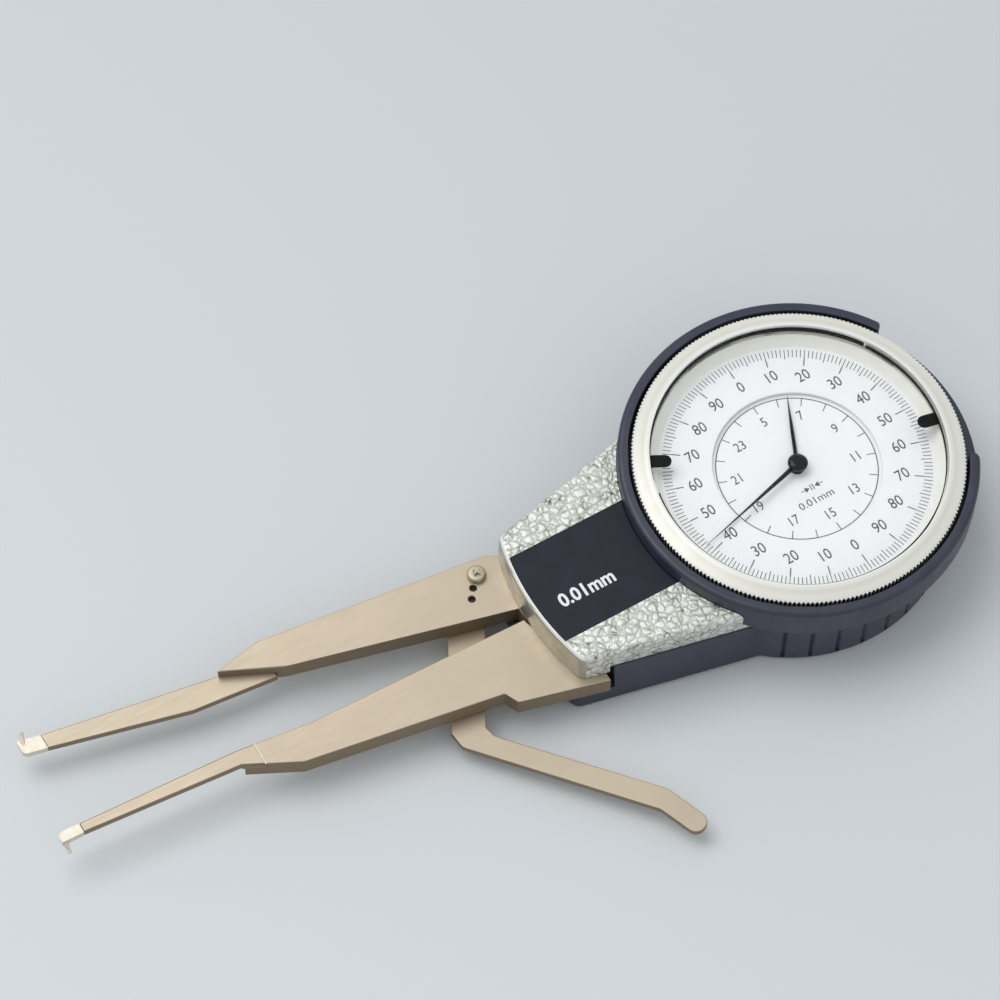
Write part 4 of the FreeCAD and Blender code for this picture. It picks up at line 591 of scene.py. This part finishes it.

# The lever's screw and dowels: a small nickel-plated pan-head screw with a cross recess, and two
# hardened pins that sit below the arm's face in their reamed holes. The pins are painted near
# black, as painted shade down in those holes.
screw_foot, head_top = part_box("lever_screw")[0][2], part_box("lever_screw")[1][2]
head_middle, head_radius, head_high = (-0.0622, 0.0134), 0.00175, 0.0013
shank_radius, shank_long = 0.00095, 0.0066
bpy.ops.object.select_all(action="DESELECT")
bpy.ops.mesh.primitive_cylinder_add(vertices=48, radius=head_radius, depth=head_high, location=(
    head_middle[0], head_middle[1], head_top - head_high / 2))
screw_head = bpy.context.object
bpy.ops.object.transform_apply(location=True, rotation=True, scale=True)
for face in screw_head.data.polygons:
    face.select = face.normal.z > 0.9
bpy.ops.object.mode_set(mode="EDIT")
bpy.ops.mesh.select_mode(type="FACE")
bpy.ops.mesh.bevel(offset=0.00042, segments=5, affect="EDGES")
bpy.ops.object.mode_set(mode="OBJECT")
bpy.ops.object.select_all(action="DESELECT")
bpy.ops.mesh.primitive_cylinder_add(vertices=32, radius=shank_radius, depth=shank_long, location=(
    head_middle[0], head_middle[1], screw_foot + shank_long / 2))
screw_shank = bpy.context.object
bpy.ops.object.transform_apply(location=True, rotation=True, scale=True)
pan_nickel = new_finish("pan_nickel", shade(190, 178, 156), 0.6, 0.38)
tint(pan_nickel, spots(pan_nickel, 0.0009), (0.3, shade(184, 171, 149)),
     (0.7, shade(196, 185, 164)))
dull(pan_nickel, spots(pan_nickel, 0.0004), 0.34, 0.46)
screw_head.data.materials.append(pan_nickel)
screw_shank.data.materials.append(pan_nickel)
cross_recess(screw_head, head_middle, head_top, head_top - 0.0008, 0.0012, 0.00052, 28)
# Painted shade: the faces inside the cross recess are coloured dark brown for the shade in it.
recess_painted_shade = new_finish("recess_painted_shade", shade(78, 68, 54), 0.4, 0.5)
dull(recess_painted_shade, spots(recess_painted_shade, 0.0003), 0.44, 0.6)
screw_head.data.materials.append(recess_painted_shade)
for face in screw_head.data.polygons:
    off_middle = math.hypot(face.center.x - head_middle[0], face.center.y - head_middle[1])
    below_top = head_top - face.center.z
    face.material_index = int(off_middle < 0.0013 and 0.00005 < below_top < 0.0011)
bpy.ops.object.select_all(action="DESELECT")
screw_shank.select_set(True)
screw_head.select_set(True)
bpy.context.view_layer.objects.active = screw_head
bpy.ops.object.join()
bpy.ops.object.shade_smooth_by_angle(angle=math.radians(30))
lever_screw = bpy.context.object
lever_screw.name = "lever_pan_screw"
lever_screw.data.name = "lever_pan_screw"
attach(lever_screw, "arm")
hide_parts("lever_screw")
# The pins' dark brown-black is painted shade for the depth of their holes.
pin_painted_shade = new_finish("pin_painted_shade", shade(52, 47, 41), 0.5, 0.3)
dull(pin_painted_shade, spots(pin_painted_shade, 0.0004), 0.24, 0.4)
dress(pin_painted_shade, "lever_pins")

# The pivot: a ground steel pin in the housing with a bronze bush in the arm's hub, and a thin
# thrust washer between the hub and the cover.
warm_brass = new_finish("warm_brass", shade(206, 172, 104), 1.0, 0.3)
tint(warm_brass, spots(warm_brass, 0.003, detail=2), (0.3, shade(190, 154, 88)),
     (0.7, shade(214, 182, 116)))
dull(warm_brass, spots(warm_brass, 0.0004, stretch=(0.2, 1, 1)), 0.24, 0.4)
dress(bright_steel, "pivot_pin")
dress(warm_brass, "pivot_bush", "thrust_washer")

# The movement: a geared train of brass wheels on steel arbors between two brass plates, which
# stand apart on pillars and are screwed together, with the arm's toothed sector driving it.
dress(warm_brass, "gear_sector", "movement_top_plate", "movement_bottom_plate",
      "movement_pillars", "transfer_wheel", "cannon_pinion", "motion_wheel", "hairspring_stud")
dress(bright_steel, "sector_screws", "movement_screws", "transfer_arbor", "centre_arbor",
      "motion_post", "fixed_arm_screws", "opening_stop_pin", "closing_stop_pin", "spring_post")

# The millimetre wheel: its pipe comes up through the inner dial to the short hand. Its brass is
# painted dark, as painted shade under the cap and in the dial's centre hole.
brass_painted_shade = new_finish("brass_painted_shade", shade(74, 64, 46), 0.8, 0.42)
dull(brass_painted_shade, spots(brass_painted_shade, 0.0006), 0.36, 0.5)
dress(brass_painted_shade, "mm_wheel")

# The springs: blue-tempered steel, wound cold. The return spring closes on the arm's hub, the
# hairspring takes the play out of the train, and the snap ring holds the bezel.
spring_steel = new_finish("spring_steel", shade(120, 124, 134), 1.0, 0.32)
tint(spring_steel, spots(spring_steel, 0.002), (0.3, shade(104, 110, 124)),
     (0.7, shade(138, 140, 146)))
dull(spring_steel, spots(spring_steel, 0.0006), 0.24, 0.4)
dress(spring_steel, "return_spring", "hairspring", "bezel_spring")

# The bezel: turned from brass bar with a finely knurled edge, plated in a pearl nickel. Its
# slope is satin, and the band and lip inside it are cut bright.
bezel_plate = new_finish("bezel_plate", shade(232, 230, 220), 0.2, 0.4)
nodes, links = bezel_plate.node_tree.nodes, bezel_plate.node_tree.links
bezel_place = nodes.new("ShaderNodeTexCoord")
bezel_flat = nodes.new("ShaderNodeVectorMath")
bezel_flat.operation = "MULTIPLY"
bezel_flat.inputs[1].default_value = (1, 1, 0)
bezel_radius = nodes.new("ShaderNodeVectorMath")
bezel_radius.operation = "LENGTH"
bezel_across = nodes.new("ShaderNodeMapRange")
bezel_across.inputs["From Min"].default_value = 0.028
bezel_across.inputs["From Max"].default_value = 0.032
links.new(bezel_place.outputs["Object"], bezel_flat.inputs[0])
links.new(bezel_flat.outputs["Vector"], bezel_radius.inputs[0])
links.new(bezel_radius.outputs["Value"], bezel_across.inputs["Value"])
tint(bezel_plate, bezel_across.outputs["Result"], (0.0, shade(238, 237, 231)),
     (0.22, shade(237, 236, 229)), (0.32, shade(226, 222, 209)), (0.6, shade(235, 232, 222)),
     (0.86, shade(230, 228, 219)))
# Painted shade: the knurl's roots and its sides below the top edge are painted near black, for
# the shade between the teeth and in the gap under the ring
knurl_parts = nodes.new("ShaderNodeSeparateXYZ")
knurl_top = nodes.new("ShaderNodeMapRange")
knurl_top_root, knurl_top_edge = 0.01972, 0.01986
knurl_root, knurl_crest, knurl_from = 0.03126, 0.03150, 0.0309
knurl_top.inputs["From Min"].default_value = knurl_top_root
knurl_top.inputs["From Max"].default_value = knurl_top_edge
knurl_tips = nodes.new("ShaderNodeMapRange")
knurl_tips.inputs["From Min"].default_value = knurl_root
knurl_tips.inputs["From Max"].default_value = knurl_crest
knurl_tips.inputs["To Max"].default_value = 0.75
knurl_inside = nodes.new("ShaderNodeMath")
knurl_inside.operation = "LESS_THAN"
knurl_inside.inputs[1].default_value = knurl_from
knurl_bright = nodes.new("ShaderNodeMath")
knurl_bright.operation = "MAXIMUM"
knurl_all = nodes.new("ShaderNodeMath")
knurl_all.operation = "MAXIMUM"
knurl_painted_shade = nodes.new("ShaderNodeMix")
knurl_painted_shade.data_type = "RGBA"
knurl_painted_shade.inputs[6].default_value = shade(34, 31, 26)
links.new(bezel_place.outputs["Object"], knurl_parts.inputs["Vector"])
links.new(knurl_parts.outputs["Z"], knurl_top.inputs["Value"])
links.new(bezel_radius.outputs["Value"], knurl_tips.inputs["Value"])
links.new(bezel_radius.outputs["Value"], knurl_inside.inputs[0])
links.new(knurl_top.outputs["Result"], knurl_bright.inputs[0])
links.new(knurl_tips.outputs["Result"], knurl_bright.inputs[1])
links.new(knurl_bright.outputs["Value"], knurl_all.inputs[0])
links.new(knurl_inside.outputs["Value"], knurl_all.inputs[1])
bezel_shader = nodes["Principled BSDF"]
links.new(knurl_all.outputs["Value"], knurl_painted_shade.inputs["Factor"])
links.new(bezel_shader.inputs["Base Color"].links[0].from_socket, knurl_painted_shade.inputs[7])
links.new(knurl_painted_shade.outputs[2], bezel_shader.inputs["Base Color"])
dull(bezel_plate, spots(bezel_plate, 0.004, detail=1), 0.36, 0.44)
dress(bezel_plate, "bezel")

# The spacer ring: a pale cream plastic cone between the dial and the crystal, which keeps the
# dial down and shows as a bright slope round its edge.
cream_plastic = new_finish("cream_plastic", shade(250, 248, 238), 0.0, 0.4)
tint(cream_plastic, spots(cream_plastic, 0.003), (0.3, shade(248, 246, 235)),
     (0.7, shade(252, 250, 241)))
dress(cream_plastic, "dial_spacer_ring")

# The outer dial: a white enamelled disc printed with two hundred strokes and the numbers 0 to
# 90 twice round, clockwise, in grey-black. It turns with the bezel to set its zero.
dial_white = new_finish("dial_white", shade(252, 253, 254), 0.0, 0.4)
tint(dial_white, spots(dial_white, 0.004, detail=1), (0.3, shade(251, 252, 253)),
     (0.7, shade(253, 254, 255)))
dull(dial_white, spots(dial_white, 0.001), 0.34, 0.44)
dress(dial_white, "outer_dial")
print_black = new_finish("print_black", shade(46, 48, 53), 0.0, 0.55)
dull(print_black, spots(print_black, 0.0005), 0.44, 0.56)


def strokes(name, count, height, kinds):
    """Strokes round a dial, every so many degrees: kinds gives which, their ends and width."""
    made = []
    for step, outer, inner, thick in kinds:
        bpy.ops.object.select_all(action="DESELECT")
        bpy.ops.mesh.primitive_cube_add(size=1)
        stroke = bpy.context.object
        bpy.ops.object.mode_set(mode="EDIT")
        bpy.ops.transform.resize(value=(outer - inner, thick, 0.00002))
        bpy.ops.transform.translate(value=((outer + inner) / 2, 0, height))
        bpy.ops.mesh.spin(steps=count // step, dupli=True, angle=2 * math.pi,
                          center=(0, 0, 0), axis=(0, 0, 1))
        bpy.ops.mesh.select_all(action="SELECT")
        bpy.ops.mesh.remove_doubles(threshold=1e-6)
        bpy.ops.object.mode_set(mode="OBJECT")
        made.append(stroke)
    marks = joined(name, made)
    marks.data.materials.append(print_black)
    return marks


outer_print, outer_numbers_at = 0.016205, 0.0198
outer_strokes = strokes("outer_dial_strokes", 200, outer_print, [
    (1, 0.02555, 0.02390, 0.00014), (5, 0.02392, 0.02345, 0.00017),
    (10, 0.02347, 0.02210, 0.00021)])
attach(outer_strokes, "bezel")
numbers = []
for number in range(20):
    angle = math.radians(90 - 18 * number)
    numbers.append(lettering(str(number % 10 * 10), 0.0023, (
        outer_numbers_at * math.cos(angle), outer_numbers_at * math.sin(angle), outer_print),
        width=0.84))
outer_numbers = joined("outer_dial_numbers", numbers)
outer_numbers.data.materials.append(print_black)
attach(outer_numbers, "bezel")

# The inner dial: a white disc a little lower, fixed to the housing, with a printed circle and
# twenty strokes, the whole millimetres 5 to 23 in odd steps, the reading and its jaw sign.
dress(dial_white, "inner_dial")
inner_print, inner_numbers_at = 0.015255, 0.0115
inner_strokes = strokes("inner_dial_strokes", 20, inner_print, [(1, 0.01530, 0.01360, 0.00017)])
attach(inner_strokes, "frame")
numbers = []
for number in range(10):
    angle = math.radians(90 - 36 * number)
    numbers.append(lettering(str(5 + 2 * number), 0.0020, (
        inner_numbers_at * math.cos(angle), inner_numbers_at * math.sin(angle), inner_print),
        width=0.84))
numbers.append(lettering("0.01mm", 0.00155, (-0.0005, -0.0076, inner_print), width=1.06))
inner_numbers = joined("inner_dial_numbers", numbers)
inner_numbers.data.materials.append(print_black)
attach(inner_numbers, "frame")

bpy.ops.object.select_all(action="DESELECT")
bpy.ops.mesh.primitive_plane_add(size=1, location=(0.01533, 0, inner_print),
                                 rotation=(math.radians(90), 0, 0))
circle = bpy.context.object
circle.scale = (0.00019, 0.00002, 1)
bpy.ops.object.transform_apply(location=True, rotation=True, scale=True)
bpy.ops.object.mode_set(mode="EDIT")
bpy.ops.mesh.select_all(action="SELECT")
bpy.ops.mesh.delete(type="ONLY_FACE")
bpy.ops.mesh.select_all(action="SELECT")
bpy.ops.mesh.spin(steps=144, angle=2 * math.pi, center=(0, 0, 0), axis=(0, 0, 1))
bpy.ops.mesh.select_all(action="SELECT")
bpy.ops.mesh.remove_doubles(threshold=1e-6)
bpy.ops.mesh.normals_make_consistent(inside=False)
bpy.ops.object.mode_set(mode="OBJECT")
circle.name = "inner_dial_circle"
circle.data.materials.append(print_black)
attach(circle, "frame")

# The sign of the two jaws above the reading: an arrow from each side and two bars between them
sign, ink = [], 0.00002
sign_x, sign_y, arrow_off, arrow_size = 0.0002, -0.0049, 0.0012, 0.00066
for side in (-1, 1):
    for across, wide, high in ((0.0020, 0.0008, 0.00014), (0.00026, 0.00018, 0.0013)):
        bpy.ops.object.select_all(action="DESELECT")
        bpy.ops.mesh.primitive_cube_add(size=1, location=(
            sign_x + side * across, sign_y, inner_print))
        bpy.context.object.scale = (wide, high, ink)
        bpy.ops.object.transform_apply(location=True, rotation=True, scale=True)
        sign.append(bpy.context.object)
    bpy.ops.object.select_all(action="DESELECT")
    bpy.ops.mesh.primitive_cylinder_add(vertices=3, radius=arrow_size, depth=ink, location=(
        sign_x + side * arrow_off, sign_y, inner_print), rotation=(0, 0, math.radians(90 * side)))
    bpy.ops.object.transform_apply(location=True, rotation=True, scale=True)
    sign.append(bpy.context.object)
jaw_sign = joined("inner_dial_sign", sign)
jaw_sign.data.materials.append(print_black)
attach(jaw_sign, "frame")

# The hands and their cap: blackened steel, the long hand for hundredths and the short one for
# whole millimetres, pressed on under a turned and polished cap.
hand_black = new_finish("hand_black", shade(16, 16, 18), 0.0, 0.42)
hand_black.node_tree.nodes["Principled BSDF"].inputs["Specular IOR Level"].default_value = 0.2
dull(hand_black, spots(hand_black, 0.0006), 0.36, 0.48)
dress(hand_black, "short_hand")
long_hand = merged_copy("long_hand", "long_hand_blade")
long_hand.data.materials.clear()
long_hand.data.materials.append(hand_black)
# Past its root the hand narrows to half its width and reaches a little further
hand_root, hand_taper, hand_slim, hand_longer = 0.003, 0.006, 0.48, 0.05
hand_tip = max((corner.co.xy for corner in long_hand.data.vertices), key=lambda spot: spot.length)
hand_way = hand_tip.normalized()
for corner in long_hand.data.vertices:
    along = corner.co.x * hand_way.x + corner.co.y * hand_way.y
    across = hand_way.x * corner.co.y - hand_way.y * corner.co.x
    if along > hand_root:
        part_way = min(1, (along - hand_root) / hand_taper)
        slim = 1 - hand_slim * part_way
        along *= 1 + hand_longer * part_way
        corner.co.x = along * hand_way.x - across * slim * hand_way.y
        corner.co.y = along * hand_way.y + across * slim * hand_way.x
bpy.ops.object.shade_smooth_by_angle(angle=math.radians(35))
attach(long_hand, "centre")
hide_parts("long_hand")
cap_black = new_finish("cap_black", shade(18, 18, 20), 0.2, 0.2)
dull(cap_black, spots(cap_black, 0.0006), 0.16, 0.26)
dress(cap_black, "hand_cap")

# The tolerance markers: two springy strips of black lacquered sheet that slide inside the
# bezel's lip, each with a bent finger over the dial.
marker_black = new_finish("marker_black", shade(13, 13, 14), 0.0, 0.5)
marker_black.node_tree.nodes["Principled BSDF"].inputs["Specular IOR Level"].default_value = 0.2
dull(marker_black, spots(marker_black, 0.0008), 0.44, 0.58)
dress(marker_black, "left_marker", "right_marker")

# The crystal: a flat disc of clear acrylic pressed in the bezel. It is clear enough to read the
# dial through from any side, with a soft gleam of the lamp on it.
clear_acrylic = new_finish("clear_acrylic", shade(250, 251, 251), 0.0, 0.04)
clear_shader = clear_acrylic.node_tree.nodes["Principled BSDF"]
clear_shader.inputs["Alpha"].default_value = 0.04
clear_shader.inputs["Transmission Weight"].default_value = 1.0
clear_shader.inputs["IOR"].default_value = 1.49
dull(clear_acrylic, spots(clear_acrylic, 0.01, detail=1), 0.03, 0.07)
dress(clear_acrylic, "crystal")
